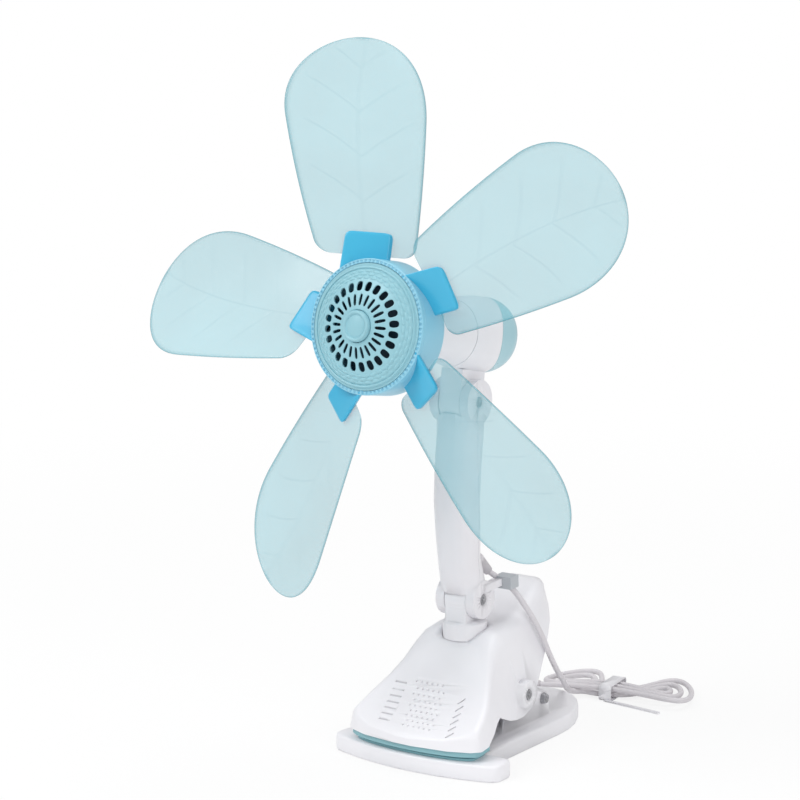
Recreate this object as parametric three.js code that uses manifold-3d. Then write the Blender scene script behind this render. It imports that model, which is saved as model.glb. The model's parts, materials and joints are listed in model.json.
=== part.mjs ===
// Clip-on desk fan, modelled as the separate pieces it comes apart into.
// Millimetres, +Z up. The origin is the middle of the base plate's underside, the fan blows along -Y.
import * as THREE from 'three';
import { mergeVertices } from 'three/addons/utils/BufferGeometryUtils.js';
import Module from 'manifold-3d';

const wasm = await Module();
wasm.setup();

// ---------- driving dimensions ----------
const GAP = 0.3; // clearance between neighbouring pieces
const RUN = 0.4; // radial running clearance of turning pieces
const FIT = 0.12; // radial clearance of pins, shafts and screws in their bores

// base plate
const PLATE_H = 11;
const PLATE_BEVEL = 1.6;
const BAR_W = 126; // front bar, end to end
const BAR_FRONT_Y = -84; // foremost point of the bowed front edge
const BAR_END_Y = -71; // where the bow meets the bar's ends
const BAR_BACK_Y = -53; // rear edge of the bar
const BAR_CORNER = 8;
const TAIL_W = 84; // narrower rear part of the plate
const TAIL_Y = 99; // rearmost point
const TAIL_STRAIGHT_Y = 37; // where the rounded rear end starts
const PLATE_WALL = 3;
const MIDDLE_FOOT_R = 10; // round foot under the middle, where the ribs meet

// clamp pivot
const PIN_Y = 2.5;
const PIN_Z = 35.5;
const PIN_R = 3;
const BRACKET_X = 27; // middle of each pivot bracket of the plate
const BRACKET_T = 4;
const BRACKET_R = 9;
const STOP_Y = 36; // cross pin behind the pivot
const STOP_Z = 23.5;
const STOP_R = 2;

// upper jaw (lever)
const JAW_WALL = 2.4;
const JAW_LIP_Z = 18; // underside of the front lip
const JAW_FRONT_Y = -86;
const JAW_SHOULDER_Y = JAW_FRONT_Y + 16; // where the rounded nose of the lip ends
const JAW_END_Y = 66; // end of the squeeze handle
const JAW_BOSS_R = 9.5;
const JAW_BOSS_X = 39.5; // outer face of the pivot bosses
const PAD_T = 3.6; // soft lining of the upper jaw
const PAD_BACK_Y = JAW_FRONT_Y + 30;
const LOWER_PAD_T = 1.6;
const RIB_X = 17; // stiffening ribs inside the lever
const SEAT_FLOOR = 6; // thickness of the turret seat's floor
const SLOT_DEEP = 8;
const DASH_TURN = 0.9;

// swivel turret on the jaw
const SWIVEL_Y = -14;
const SEAT_Z = 72; // floor of the turret's seat
const TURRET_R = 14.5;
const TURRET_TOP_Z = 84;
const SEAT_BOSS_R = 18.5;
const LUG_W = 15.8;
const SWIVEL_SCREW_R = 2.5;

// arm
const KNEE = new THREE.Vector3(0, SWIVEL_Y, 98.4); // lower pivot
const NECK = new THREE.Vector3(0, -20, 228); // upper pivot
const EAR_IN = LUG_W / 2 + RUN; // inner face of the fork ears
const EAR_OUT = 14.6;
const KNEE_R = 12.6;
const NECK_R = 14.3;
const BOLT_R = 2.5;
const HEAD_R = 3.9;
const HEAD_H = 2.6;
const ARM_CHANNEL_R = 7.5;
const GUIDE_X = 16.5; // outer side of the bar that carries the flex clip
const GUIDE_Z = 7.5;
const GUIDE_END = 18.5;
const CLIP_L = 10;
const CLIP_OUT = 6.5;
const ARM_SPLIT = -3; // parting of the arm's two shells

// fan head
const TILT = THREE.MathUtils.degToRad(8.5); // nose-up angle at rest
const AXIS_UP = 42.5; // fan axis above the upper pivot
const RING_Y = -111.5; // grille ring plane, along the fan axis from the pivot
const HOUSING_R = 24.5;
const HOUSING_WALL = 2.4;
const NOSE_START = 33;
const NOSE_SPLIT = 92; // joint of nose cone and motor housing
const CAP_SPLIT = 127; // parting of the tinted rear cap on the centre plane
const HOUSING_END = CAP_SPLIT + 13; // rear end behind the ring plane
const CAP_SADDLE = 11; // how far the parting comes forward at the sides
const SHAFT_R = 3;

// hub and grille
const HUB_R = 41;
const HUB_WALL = 2.4;
const HUB_DEPTH = 26;
const HUB_FRONT = 3.8; // front edge of the hub's wall, behind the grille's rim
const KNURL_W = 1.2; // width of the knurled ring's band
const DOME_R = 35;
const DOME_H = 9;
const FACE_T = 2;
const VENTS = 24;
const VENT_IN = [12.5, 19.6, 1.7]; // narrow slots: inner radius, outer radius, width
const VENT_OUT = [21.5, 27, 3.9]; // oval slots
const BUTTON_R = 9.6;
const KNURLS = 48;

// blades
const BLADES = 5;
const BLADE_T = 2.2;
const BLADE_PLANE = 19.3; // behind the ring plane
const ROOT_Y = 42.6;
const TIP_Y = 175.5;
const BLADE_LEAN = 4.7; // the tip leans this far back
const TIP_SKEW = 5; // the tip leans this far to the leading side
const TIP_START = 125;
const ROOT_HALF = 27;
const ROOT_CORNER = 7;
const TAB_HALF = 13;
const TAB_T = 3.6;
const TAB_END = 57;
const TAB_X = -10.5;
const CARRIER_R = 33;

// flex
const CORD_R = 1.9;
const HANK_LOOPS = 3;
const HANK_PITCH = 7.2; // from one strand to the next
const HANK_HALF = 38; // innermost loop's half length
const HANK_WIDE = 10.5; // innermost loop's half width
const HANK_LEAD = 0.7; // last part of the turn, which leads to the plug
const HANK_WAIST = 2; // how slowly the loops open from the tie
const HANK_FROM = Math.PI / 2;
const HANK_TO = HANK_FROM + 2 * Math.PI * (HANK_LOOPS - 0.5) + HANK_LEAD;
const TIE_T = 0.9;
const TIE_L = 9;
const PLUG_L = 30;
const PLUG_R = 7;

// ---------- geometry helpers ----------
const V = (x, y, z) => new THREE.Vector3(x, y, z);
const HANK_AT = V(24.5, 137, 0); // middle of the tie

/** Merges shared corners, drops empty triangles and turns the faces outwards. */
function closed(geometry) {
  const g = geometry.clone();
  for (const name of Object.keys(g.attributes)) if (name !== 'position') g.deleteAttribute(name);
  const m = mergeVertices(g, 1e-4);
  const p = m.attributes.position.array;
  const source = m.index.array;
  const index = [];
  let volume = 0;
  for (let i = 0; i < source.length; i += 3) {
    const [a, b, c] = [source[i], source[i + 1], source[i + 2]];
    if (a === b || b === c || c === a) continue;
    index.push(a, b, c);
    const [A, B, C] = [a, b, c].map((k) => V(p[3 * k], p[3 * k + 1], p[3 * k + 2]));
    volume += A.dot(B.cross(C));
  }
  if (volume < 0) index.reverse();
  const out = new THREE.BufferGeometry();
  out.setAttribute('position', new THREE.Float32BufferAttribute(p, 3));
  out.setIndex(index);
  return out;
}

function toSolid(geometry) {
  const g = closed(geometry);
  return new wasm.Manifold(new wasm.Mesh({
    numProp: 3,
    vertProperties: new Float32Array(g.attributes.position.array),
    triVerts: new Uint32Array(g.index.array),
  }));
}

function toGeometry(solid) {
  const mesh = solid.getMesh();
  const g = new THREE.BufferGeometry();
  g.setAttribute('position', new THREE.Float32BufferAttribute(mesh.vertProperties, 3));
  g.setIndex(Array.from(mesh.triVerts));
  return g;
}

/** base + added pieces - cut pieces, all given as geometries. */
function build(base, add = [], cut = []) {
  let s = toSolid(base);
  for (const a of add) s = s.add(toSolid(a));
  for (const c of cut) s = s.subtract(toSolid(c));
  return toGeometry(s);
}

function common(a, b) {
  return toGeometry(toSolid(a).intersect(toSolid(b)));
}

const box = (x0, x1, y0, y1, z0, z1) =>
  new THREE.BoxGeometry(x1 - x0, y1 - y0, z1 - z0).translate((x0 + x1) / 2, (y0 + y1) / 2, (z0 + z1) / 2);

/** Cylinder along x, y or z from a to b, through (u, v) of the other two axes in their order. */
function rod(axis, r, a, b, u, v, sides = 20, rEnd = r) {
  const g = new THREE.CylinderGeometry(rEnd, r, b - a, sides).translate(0, (a + b) / 2, 0);
  if (axis === 'x') return g.rotateZ(-Math.PI / 2).translate(0, u, v);
  if (axis === 'z') return g.rotateX(Math.PI / 2).translate(u, v, 0);
  return g.translate(u, 0, v);
}

const lathe = (points, sides = 40) =>
  new THREE.LatheGeometry(points.map(([r, y]) => new THREE.Vector2(r, y)), sides);

/** Skin through rings of points, all of one even count; the ends close by pairing a ring's two sides. */
function loft(rings) {
  const n = rings[0].length;
  const index = [];
  for (let r = 0; r + 1 < rings.length; r++) {
    for (let i = 0; i < n; i++) {
      const [a, b] = [r * n + i, r * n + ((i + 1) % n)];
      index.push(a, b, b + n, a, b + n, a + n);
    }
  }
  const end = (rings.length - 1) * n;
  for (let i = 0; i < n / 2 - 1; i++) {
    const [a, b, c, d] = [i, i + 1, n - 2 - i, n - 1 - i];
    index.push(a, c, b, a, d, c, end + a, end + b, end + c, end + a, end + c, end + d);
  }
  const g = new THREE.BufferGeometry();
  g.setAttribute('position', new THREE.Float32BufferAttribute(rings.flat().flatMap((p) => [p.x, p.y, p.z]), 3));
  g.setIndex(index);
  return g;
}

/** Smooth function of one value through a few [value, result] points, with no overshoot. */
function through(points) {
  const slope = points.slice(1).map(([x, y], i) => (y - points[i][1]) / (x - points[i][0]));
  const tangent = points.map((_, i) => {
    if (i === 0) return slope[0];
    if (i === slope.length) return slope[i - 1];
    const [a, b] = [slope[i - 1], slope[i]];
    return a * b <= 0 ? 0 : (2 * a * b) / (a + b);
  });
  return (x) => {
    if (x <= points[0][0]) return points[0][1];
    if (x >= points.at(-1)[0]) return points.at(-1)[1];
    const i = slope.findIndex((_, k) => x <= points[k + 1][0]);
    const [[x0, y0], [x1, y1]] = [points[i], points[i + 1]];
    const h = x1 - x0;
    const t = (x - x0) / h;
    const [t2, t3] = [t * t, t * t * t];
    return (2 * t3 - 3 * t2 + 1) * y0 + (t3 - 2 * t2 + t) * h * tangent[i]
      + (3 * t2 - 2 * t3) * y1 + (t3 - t2) * h * tangent[i + 1];
  };
}

const range = (n) => Array.from({ length: n }, (_, i) => i);
const lerp = THREE.MathUtils.lerp;

// ---------- materials ----------
const plastic = (color, roughness = 0.35, more = {}) =>
  new THREE.MeshStandardMaterial({ color, roughness, metalness: 0, ...more });
const WHITE = plastic('#ecebee');
const BLADE_TINT = plastic('#bfe0e6', 0.25, { transparent: true, opacity: 0.6 });
const TAB_CYAN = plastic('#48b8de');
const HUB_BLUE = plastic('#9ccbdc', 0.4);
const GRILLE_BLUE = plastic('#8fc3cc', 0.4);
const CAP_TINT = plastic('#a9cdd6', 0.3);
const PAD_TEAL = plastic('#7fb6c2', 0.6);
const STEEL = new THREE.MeshStandardMaterial({ color: '#8a8c90', roughness: 0.35, metalness: 1 });
const IRON = new THREE.MeshStandardMaterial({ color: '#6f7278', roughness: 0.5, metalness: 1 });
const COPPER = new THREE.MeshStandardMaterial({ color: '#b5713a', roughness: 0.4, metalness: 1 });
const BRONZE = new THREE.MeshStandardMaterial({ color: '#a8854b', roughness: 0.5, metalness: 1 });
const FLEX = plastic('#dcdadd', 0.5);
const GREY_RUBBER = plastic('#b4b8bd', 0.7);

const fan = new THREE.Group();

function piece(parent, name, geometry, material) {
  const g = closed(geometry);
  g.computeVertexNormals();
  const mesh = new THREE.Mesh(g, material);
  mesh.name = name;
  parent.add(mesh);
  return mesh;
}

// ---------- base plate ----------
/** Plan of the plate, drawn inside its outline by `inset`: bowed front bar and a narrower tail with a round end. */
function plateOutline(inset) {
  const bar = BAR_W / 2 - inset;
  const tail = TAIL_W / 2 - inset;
  const corner = BAR_CORNER - inset / 2;
  const back = BAR_BACK_Y - inset;
  const s = new THREE.Shape();
  s.moveTo(-tail, back);
  s.lineTo(-bar + corner, back);
  s.quadraticCurveTo(-bar, back, -bar, back - corner);
  s.lineTo(-bar, BAR_END_Y + corner * 0.6);
  s.quadraticCurveTo(-bar, BAR_END_Y + inset - corner * 0.3, -bar + corner, BAR_END_Y + inset - corner * 0.55);
  s.quadraticCurveTo(0, 2 * (BAR_FRONT_Y + inset) - (BAR_END_Y + inset - corner * 0.55), bar - corner,
    BAR_END_Y + inset - corner * 0.55);
  s.quadraticCurveTo(bar, BAR_END_Y + inset - corner * 0.3, bar, BAR_END_Y + corner * 0.6);
  s.lineTo(bar, back - corner);
  s.quadraticCurveTo(bar, back, bar - corner, back);
  s.lineTo(tail, back);
  s.lineTo(tail, TAIL_STRAIGHT_Y);
  s.absellipse(0, TAIL_STRAIGHT_Y, tail, TAIL_Y - inset - TAIL_STRAIGHT_Y, 0, Math.PI, false);
  s.lineTo(-tail, back);
  return s;
}

function extrude(shape, depth, bevel = 0, curveSegments = 8) {
  return new THREE.ExtrudeGeometry(shape, {
    depth: depth - 2 * bevel,
    bevelEnabled: bevel > 0,
    bevelThickness: bevel,
    bevelSize: bevel,
    bevelOffset: -bevel,
    bevelSegments: 2,
    curveSegments,
  }).translate(0, 0, bevel);
}

/** Side view of one pivot bracket: a boss round the pin that runs down to a long foot on the plate. */
function bracket(x) {
  const s = new THREE.Shape();
  const foot = PLATE_H - 2;
  s.moveTo(PIN_Y - 17, foot);
  s.lineTo(PIN_Y - BRACKET_R, PIN_Z);
  s.absarc(PIN_Y, PIN_Z, BRACKET_R, Math.PI, Math.PI * 0.2, true);
  s.lineTo(STOP_Y + 4.5, STOP_Z + 4);
  s.quadraticCurveTo(STOP_Y + 8, STOP_Z, STOP_Y + 8, foot);
  s.lineTo(PIN_Y - 17, foot);
  // the shape's (x, y) become the piece's (Y, Z), and its depth X
  return extrude(s, BRACKET_T, 0, 5).rotateY(Math.PI / 2).rotateX(Math.PI / 2).translate(x - BRACKET_T / 2, 0, 0);
}

function basePlate() {
  const pocket = extrude(plateOutline(PLATE_WALL + 1), PLATE_H - PLATE_WALL + 1, 0, 5).translate(0, 0, -1);
  const ribTop = PLATE_H - PLATE_WALL + 0.5;
  const ribs = [
    box(-1.2, 1.2, BAR_FRONT_Y + 6, TAIL_Y - 4, 0.6, ribTop),
    box(-TAIL_W / 2 + 2, TAIL_W / 2 - 2, PIN_Y - 1.2, PIN_Y + 1.2, 0.6, ribTop),
    box(-TAIL_W / 2 + 2, TAIL_W / 2 - 2, STOP_Y + 8, STOP_Y + 10.4, 0.6, ribTop),
    box(-TAIL_W / 2 + 2, TAIL_W / 2 - 2, BAR_BACK_Y - 3.6, BAR_BACK_Y - 1.2, 0.6, ribTop),
  ];
  const middleFoot = rod('z', MIDDLE_FOOT_R, 0, ribTop, 0, 0, 24);
  const shell = build(extrude(plateOutline(0), PLATE_H, PLATE_BEVEL, 7), [], [pocket]);
  const bores = [
    rod('x', PIN_R + FIT, -BRACKET_X - 5, BRACKET_X + 5, PIN_Y, PIN_Z),
    rod('x', STOP_R + FIT, -BRACKET_X - 5, BRACKET_X + 5, STOP_Y, STOP_Z, 12),
  ];
  return build(shell, [...ribs, middleFoot, bracket(-BRACKET_X), bracket(BRACKET_X)], bores);
}

// ---------- upper jaw ----------
const jawTop = through([[JAW_FRONT_Y, JAW_LIP_Z + 4.5], [JAW_FRONT_Y + 12, 29.5], [JAW_FRONT_Y + 24, 36.5],
  [-52, 43.5], [-43, 52], [-35, 61.5], [-28, 70.5], [-22, 76], [-14, 79], [0, 80.5], [12, 83.5], [24, 88.5],
  [36, 94], [48, 98.8], [56, 99.4], [62, 95.5], [JAW_END_Y, 89]]);
const jawBottom = through([[JAW_FRONT_Y, JAW_LIP_Z], [JAW_FRONT_Y + 22, JAW_LIP_Z], [-54, 24], [-38, 30], [-24, 25],
  [-12, 21.5], [0, 21.5], [8, 25], [14, 34], [24, 46], [36, 59.5], [48, 72], [58, 80.5], [JAW_END_Y, 85]]);
const jawWide = through([[JAW_SHOULDER_Y, 50.5], [-56, 49], [-46, 45.5], [-36, 41.5], [-25, 38.8], [0, 37.6], [12, 37],
  [28, 33.5], [42, 29], [54, 23], [62, 14.5], [JAW_END_Y, 7]]);
const jawNarrow = through([[JAW_SHOULDER_Y, 48.5], [-56, 46], [-46, 41.5], [-36, 36.5], [-27, 33], [-14, 31], [10, 29],
  [28, 27.5], [42, 25], [54, 19.5], [62, 11], [JAW_END_Y, 5]]);
const jawRound = through([[JAW_FRONT_Y, 4], [-62, 5.5], [-46, 8.5], [-32, 12], [-20, 13.5], [0, 13], [30, 12], [50, 10],
  [60, 6], [JAW_END_Y, 3]]);

/** One cross-section of the lever at y, drawn inward by `inset`; its open underside lies `drop` lower. */
function jawSection(y, inset, drop, steps) {
  const nose = y < JAW_SHOULDER_Y
    ? Math.sqrt(Math.max(0, 1 - ((JAW_SHOULDER_Y - y) / (JAW_SHOULDER_Y - JAW_FRONT_Y - inset)) ** 2)) : 1;
  const low = Math.max(0.6, jawWide(y) * nose - inset);
  const high = Math.max(0.5, jawNarrow(y) * nose - inset);
  const top = jawTop(y) - inset;
  const edge = Math.min(jawBottom(y), top - 1);
  const bottom = edge - drop;
  const flare = (drop * (low - high)) / (top - edge + 4);
  const r = Math.min(Math.max(0.4, jawRound(y) - inset * 0.6), high - 0.2, top - bottom - drop - 0.3);
  const points = [];
  for (const side of [-1, 1]) {
    const arc = range(steps + 1).map((i) => {
      const a = (i / steps) * (Math.PI / 2);
      return V(side * (high - r + r * Math.cos(a)), y, top - r + r * Math.sin(a));
    });
    const foot = V(side * (low + flare), y, bottom);
    points.push(...(side < 0 ? [foot, ...arc] : [...arc.reverse(), foot]));
  }
  return points;
}

function jawLoft(inset, drop, rows, steps) {
  const from = JAW_FRONT_Y + inset + 0.15;
  const to = JAW_END_Y - inset;
  const nose = range(4).map((i) => lerp(from, JAW_SHOULDER_Y, Math.sin((i / 4) * (Math.PI / 2)) ** 1.6));
  const body = range(rows + 1).map((i) => lerp(JAW_SHOULDER_Y, to - 8, i / rows));
  const tail = range(3).map((i) => to - 8 + 8 * Math.sin(((i + 1) / 3) * (Math.PI / 2)));
  return loft([...nose, ...body, ...tail].map((y) => jawSection(y, inset, drop, steps)));
}

/** Short grip slots through the sloping bill: a column of long slots on the left, of slanted dashes on the right. */
function gripSlots() {
  const slots = [];
  const slot = (x, y, length, width, turn) => {
    const g = box(-length / 2, length / 2, -width / 2, width / 2, -SLOT_DEEP, SLOT_DEEP).rotateZ(turn);
    slots.push(g.translate(x, y, jawTop(y)));
  };
  range(7).forEach((i) => slot(-20 - i * 0.9, JAW_FRONT_Y + 10 + i * 4.4, 9, 1.2, 0));
  range(6).forEach((i) => slot(31 - i * 1.4, JAW_FRONT_Y + 8 + i * 4.8, 5.5, 1.1, DASH_TURN));
  return slots;
}

function topJaw() {
  const outer = jawLoft(0, 0, 15, 4);
  const shell = build(outer, [], [jawLoft(JAW_WALL, 14, 10, 2)]);
  const under = common(outer, rod('z', SEAT_BOSS_R, SEAT_Z - SEAT_FLOOR, SEAT_Z + SEAT_BOSS_R + 5, 0, SWIVEL_Y, 28));
  const bosses = [-1, 1].map((s) => {
    const [a, b] = [JAW_BOSS_X - 5.5, JAW_BOSS_X].map((x) => s * x).sort((p, q) => p - q);
    return rod('x', JAW_BOSS_R, a, b, PIN_Y, PIN_Z, 28);
  });
  const ribs = [-1, 1].map((s) => common(outer, box(s * RIB_X - 1, s * RIB_X + 1,
    JAW_FRONT_Y + 4, SWIVEL_Y - 8, JAW_LIP_Z, SEAT_Z + SEAT_BOSS_R)));
  return build(shell, [under, ...ribs, ...bosses], [
    rod('z', TURRET_R + RUN, SEAT_Z, 110, 0, SWIVEL_Y, 36),
    rod('z', SWIVEL_SCREW_R + GAP, 50, 110, 0, SWIVEL_Y, 16),
    rod('x', PIN_R + FIT, -60, 60, PIN_Y, PIN_Z),
    rod('x', HEAD_R + GAP, JAW_BOSS_X - HEAD_H - 0.5, 60, PIN_Y, PIN_Z),
    rod('x', HEAD_R + GAP, -60, -JAW_BOSS_X + HEAD_H + 0.5, PIN_Y, PIN_Z),
    ...gripSlots(),
  ]);
}

/** Plan of the lip: the same rounded nose as the lever, drawn in by `inset`, cut straight at the back. */
function lipOutline(inset, backY) {
  const s = new THREE.Shape();
  const half = (y) => jawWide(y) - inset;
  s.moveTo(-half(backY), backY);
  s.lineTo(-half(JAW_SHOULDER_Y), JAW_SHOULDER_Y);
  range(11).forEach((i) => {
    const a = Math.PI * (1 - (i + 1) / 12);
    s.lineTo(half(JAW_SHOULDER_Y) * Math.cos(a),
      JAW_SHOULDER_Y - (JAW_SHOULDER_Y - JAW_FRONT_Y - inset) * Math.sin(a));
  });
  s.lineTo(half(JAW_SHOULDER_Y), JAW_SHOULDER_Y);
  s.lineTo(half(backY), backY);
  s.lineTo(-half(backY), backY);
  return s;
}

// ---------- fasteners ----------
/** Pan head with a cross recess, lying in the YZ plane; its outer face is at x, side is the way it faces. */
function crossHead(x, side, y, z, r = HEAD_R, h = HEAD_H) {
  const [a, b] = side > 0 ? [x - h, x] : [x, x + h];
  const head = side > 0 ? rod('x', r, a, b, y, z, 20, r * 0.8) : rod('x', r * 0.8, a, b, y, z, 20, r);
  const [c, d] = side > 0 ? [x - 1.2, x + 1] : [x - 1, x + 1.2];
  return build(head, [], [box(c, d, y - 0.5, y + 0.5, z - 2, z + 2), box(c, d, y - 2, y + 2, z - 0.5, z + 0.5)]);
}

/** Bolt through a pair of ears: head on +X, plain shank, its end in the nut on -X. */
function earBolt(y, z, headX, endX, r = BOLT_R) {
  const shank = rod('x', r, endX, headX - HEAD_H + 0.2, y, z, 16);
  return build(crossHead(headX, 1, y, z), [shank]);
}

function hexNut(y, z, x0, x1, bore) {
  return build(rod('x', 4.2, x0, x1, y, z, 6), [], [rod('x', bore + 0.1, x0 - 1, x1 + 1, y, z, 16)]);
}

// ---------- torsion spring of the clamp ----------
const SPRING_WIRE = 1.1;
const SPRING_R = 6.4;
const SPRING_TURNS = 7;
const SPRING_HALF = 11;

/** Coil round the clamp pin as a polyline of rings: a leg to the plate, the turns, and a leg to the handle. */
function torsionSpring() {
  const steps = SPRING_TURNS * 8;
  const start = -Math.PI * 0.2; // the plate's leg leaves the coil here, pointing back and down
  const total = SPRING_TURNS * 2 * Math.PI + Math.PI * 0.95;
  const centre = range(steps + 1).map((i) => {
    const a = start - (total * i) / steps;
    const x = lerp(SPRING_HALF, -SPRING_HALF, i / steps);
    return V(x, PIN_Y + SPRING_R * Math.cos(a), PIN_Z + SPRING_R * Math.sin(a));
  });
  const first = centre[0];
  const last = centre.at(-1);
  const low = V(first.x + 0.5, STOP_Y - 6, PLATE_H + SPRING_WIRE + GAP);
  const high = V(last.x - 0.5, 40, jawTop(40) - JAW_WALL - SPRING_WIRE - GAP - 1.2);
  const path = [low, first.clone().lerp(low, 0.5), ...centre, last.clone().lerp(high, 0.5), high];
  return tube(path, SPRING_WIRE, 5);
}

/** Round tube along a polyline, with the sections kept from twisting. */
function tube(path, r, sides) {
  const tangents = path.map((p, i) => {
    const a = path[Math.max(0, i - 1)];
    const b = path[Math.min(path.length - 1, i + 1)];
    return b.clone().sub(a).normalize();
  });
  let side = Math.abs(tangents[0].z) > 0.9 ? V(1, 0, 0) : V(0, 0, 1);
  const rings = path.map((p, i) => {
    side = side.clone().sub(tangents[i].clone().multiplyScalar(side.dot(tangents[i]))).normalize();
    const other = tangents[i].clone().cross(side);
    return range(sides).map((k) => {
      const a = ((k + 0.5) / sides) * 2 * Math.PI;
      return p.clone().addScaledVector(side, r * Math.sin(a)).addScaledVector(other, r * Math.cos(a));
    });
  });
  return tubeSkin(rings);
}

/** Skin of a tube: like loft, with fan-shaped ends, for any number of sides. */
function tubeSkin(rings) {
  const n = rings[0].length;
  const index = [];
  for (let r = 0; r + 1 < rings.length; r++) {
    for (let i = 0; i < n; i++) {
      const [a, b] = [r * n + i, r * n + ((i + 1) % n)];
      index.push(a, b, b + n, a, b + n, a + n);
    }
  }
  const end = (rings.length - 1) * n;
  for (let i = 1; i + 1 < n; i++) index.push(0, i + 1, i, end, end + i, end + i + 1);
  const g = new THREE.BufferGeometry();
  g.setAttribute('position', new THREE.Float32BufferAttribute(rings.flat().flatMap((p) => [p.x, p.y, p.z]), 3));
  g.setIndex(index);
  return g;
}

// ---------- clamp ----------
function addClamp() {
  piece(fan, 'base_plate', basePlate(), WHITE);
  const lining = extrude(lipOutline(2.2, PAD_BACK_Y), PAD_T, 0.6, 6);
  piece(fan, 'upper_grip_pad', lining.translate(0, 0, JAW_LIP_Z - GAP - PAD_T), PAD_TEAL);
  const lower = extrude(lipOutline(6, PAD_BACK_Y), LOWER_PAD_T, 0.3, 6);
  piece(fan, 'lower_grip_pad', lower.translate(0, 0, PLATE_H + 0.05), PAD_TEAL);
  piece(fan, 'top_jaw', topJaw(), WHITE);
  const nutX = -JAW_BOSS_X + HEAD_H;
  piece(fan, 'pivot_bolt', earBolt(PIN_Y, PIN_Z, JAW_BOSS_X - 0.2, nutX + 0.2, PIN_R), STEEL);
  piece(fan, 'pivot_nut', crossHead(-JAW_BOSS_X + 0.1, -1, PIN_Y, PIN_Z, HEAD_R, HEAD_H - 0.6), STEEL);
  const stop = BRACKET_X + BRACKET_T / 2;
  const stopPin = earBolt(STOP_Y, STOP_Z, stop + HEAD_H + GAP, -stop - 1, STOP_R);
  piece(fan, 'stop_pin', stopPin, STEEL);
  piece(fan, 'torsion_spring', torsionSpring(), IRON);
}

// ---------- swivel turret ----------
function addSwivel() {
  const round = rod('z', TURRET_R, SEAT_Z + GAP, TURRET_TOP_Z - 1.5, 0, SWIVEL_Y, 36);
  const top = rod('z', TURRET_R, TURRET_TOP_Z - 1.5, TURRET_TOP_Z, 0, SWIVEL_Y, 36, TURRET_R - 1.5);
  const lugR = KNEE_R - 0.3;
  const lug = rod('x', lugR, -LUG_W / 2, LUG_W / 2, KNEE.y, KNEE.z, 32);
  const stem = box(-LUG_W / 2, LUG_W / 2, KNEE.y - lugR + 1, KNEE.y + lugR - 1, TURRET_TOP_Z - 2, KNEE.z);
  piece(fan, 'swivel_turret', build(round, [top, stem, lug], [
    rod('x', BOLT_R + FIT, -20, 20, KNEE.y, KNEE.z),
    rod('z', SWIVEL_SCREW_R - 0.3, SEAT_Z - 4, TURRET_TOP_Z - 2, 0, SWIVEL_Y, 16),
    // ears of the arm turn past the turret's top
    rod('x', KNEE_R + RUN, LUG_W / 2, 20, KNEE.y, KNEE.z, 32),
    rod('x', KNEE_R + RUN, -20, -LUG_W / 2, KNEE.y, KNEE.z, 32),
  ]), WHITE);
  const under = SEAT_Z - SEAT_FLOOR;
  const washer = build(rod('z', 8, under - 1.3, under - GAP, 0, SWIVEL_Y, 20), [],
    [rod('z', SWIVEL_SCREW_R + 0.2, 0, 99, 0, SWIVEL_Y, 16)]);
  piece(fan, 'swivel_washer', washer, STEEL);
  const head = rod('z', 4.4, under - 4.2, under - 1.3 - GAP, 0, SWIVEL_Y, 20);
  const shank = rod('z', SWIVEL_SCREW_R - 0.4, under - 2, TURRET_TOP_Z - 3, 0, SWIVEL_Y, 16);
  piece(fan, 'swivel_screw', build(head, [shank]), STEEL);
}

// ---------- free stretch of the flex ----------
/** Free stretch of the flex, from the strain relief over the clip and the lever's flank to the table. */
const CORD_ROUTE = [
  [1.3, -13.7, 129.8], [4.5, -6.2, 121.8], [7.8, 1.3, 113.7], [11.5, 6.8, 108.8], [16, 10.2, 104.6],
  [21.5, 12.2, 99.5], [27.5, 14.5, 91], [32, 20, 79.5], [34.4, 26, 68], [34.6, 33, 57],
  [33, 42.5, 46.5], [28.5, 56, 36.5], [20.5, 75, 26], [11, 93, 17.5], [5.5, 107, 9], [4, 116, 5], [7.5, 125.5, 3.3],
].map(([x, y, z]) => V(x, y, z));

function cordCourse() {
  const start = hankPoint(HANK_FROM);
  const way = hankPoint(HANK_FROM + 0.2).sub(start).normalize();
  const joinsHank = [9, GAP].map((d) => start.clone().addScaledVector(way, -d));
  return new THREE.CatmullRomCurve3([...CORD_ROUTE, ...joinsHank], false, 'centripetal').getSpacedPoints(44);
}

/** Room for the flex in the pieces it passes, in the arm's frame. */
function cordRoom() {
  const course = cordCourse().slice(0, 14);
  const early = course[0].clone().multiplyScalar(2).sub(course[1]);
  arm.updateMatrixWorld();
  return tube([early, ...course], CORD_R + GAP, 8).applyMatrix4(arm.matrixWorld.clone().invert());
}

// ---------- arm ----------
const arm = new THREE.Group();
arm.position.copy(KNEE);
const ARM_L = NECK.distanceTo(KNEE);
arm.rotation.x = Math.atan2(KNEE.y - NECK.y, NECK.z - KNEE.z);
fan.add(arm);

const armHalfX = through([[0, 14.6], [14, 14], [26, 13], [44, 13.9], [66, 14.2], [100, 14.3], [ARM_L, 14.6]]);
const armHalfY = through([[0, 12], [14, 12.4], [26, 12.4], [66, 13.2], [104, 13.6], [ARM_L, 13.8]]);
const armBow = through([[0, 0], [12, -2.5], [28, -6], [66, -7], [98, -3.5], [114, -0.6], [ARM_L, 0]]);

function armSection(z, inset, power = 2.5) {
  const [a, b] = [armHalfX(z) - inset, armHalfY(z) - inset];
  return range(16).map((i) => {
    const t = ((i + 0.5) / 16) * 2 * Math.PI;
    const k = (c) => Math.sign(c) * Math.abs(c) ** (2 / power);
    return V(a * k(Math.cos(t)), armBow(z) + b * k(Math.sin(t)), z);
  });
}

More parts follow.
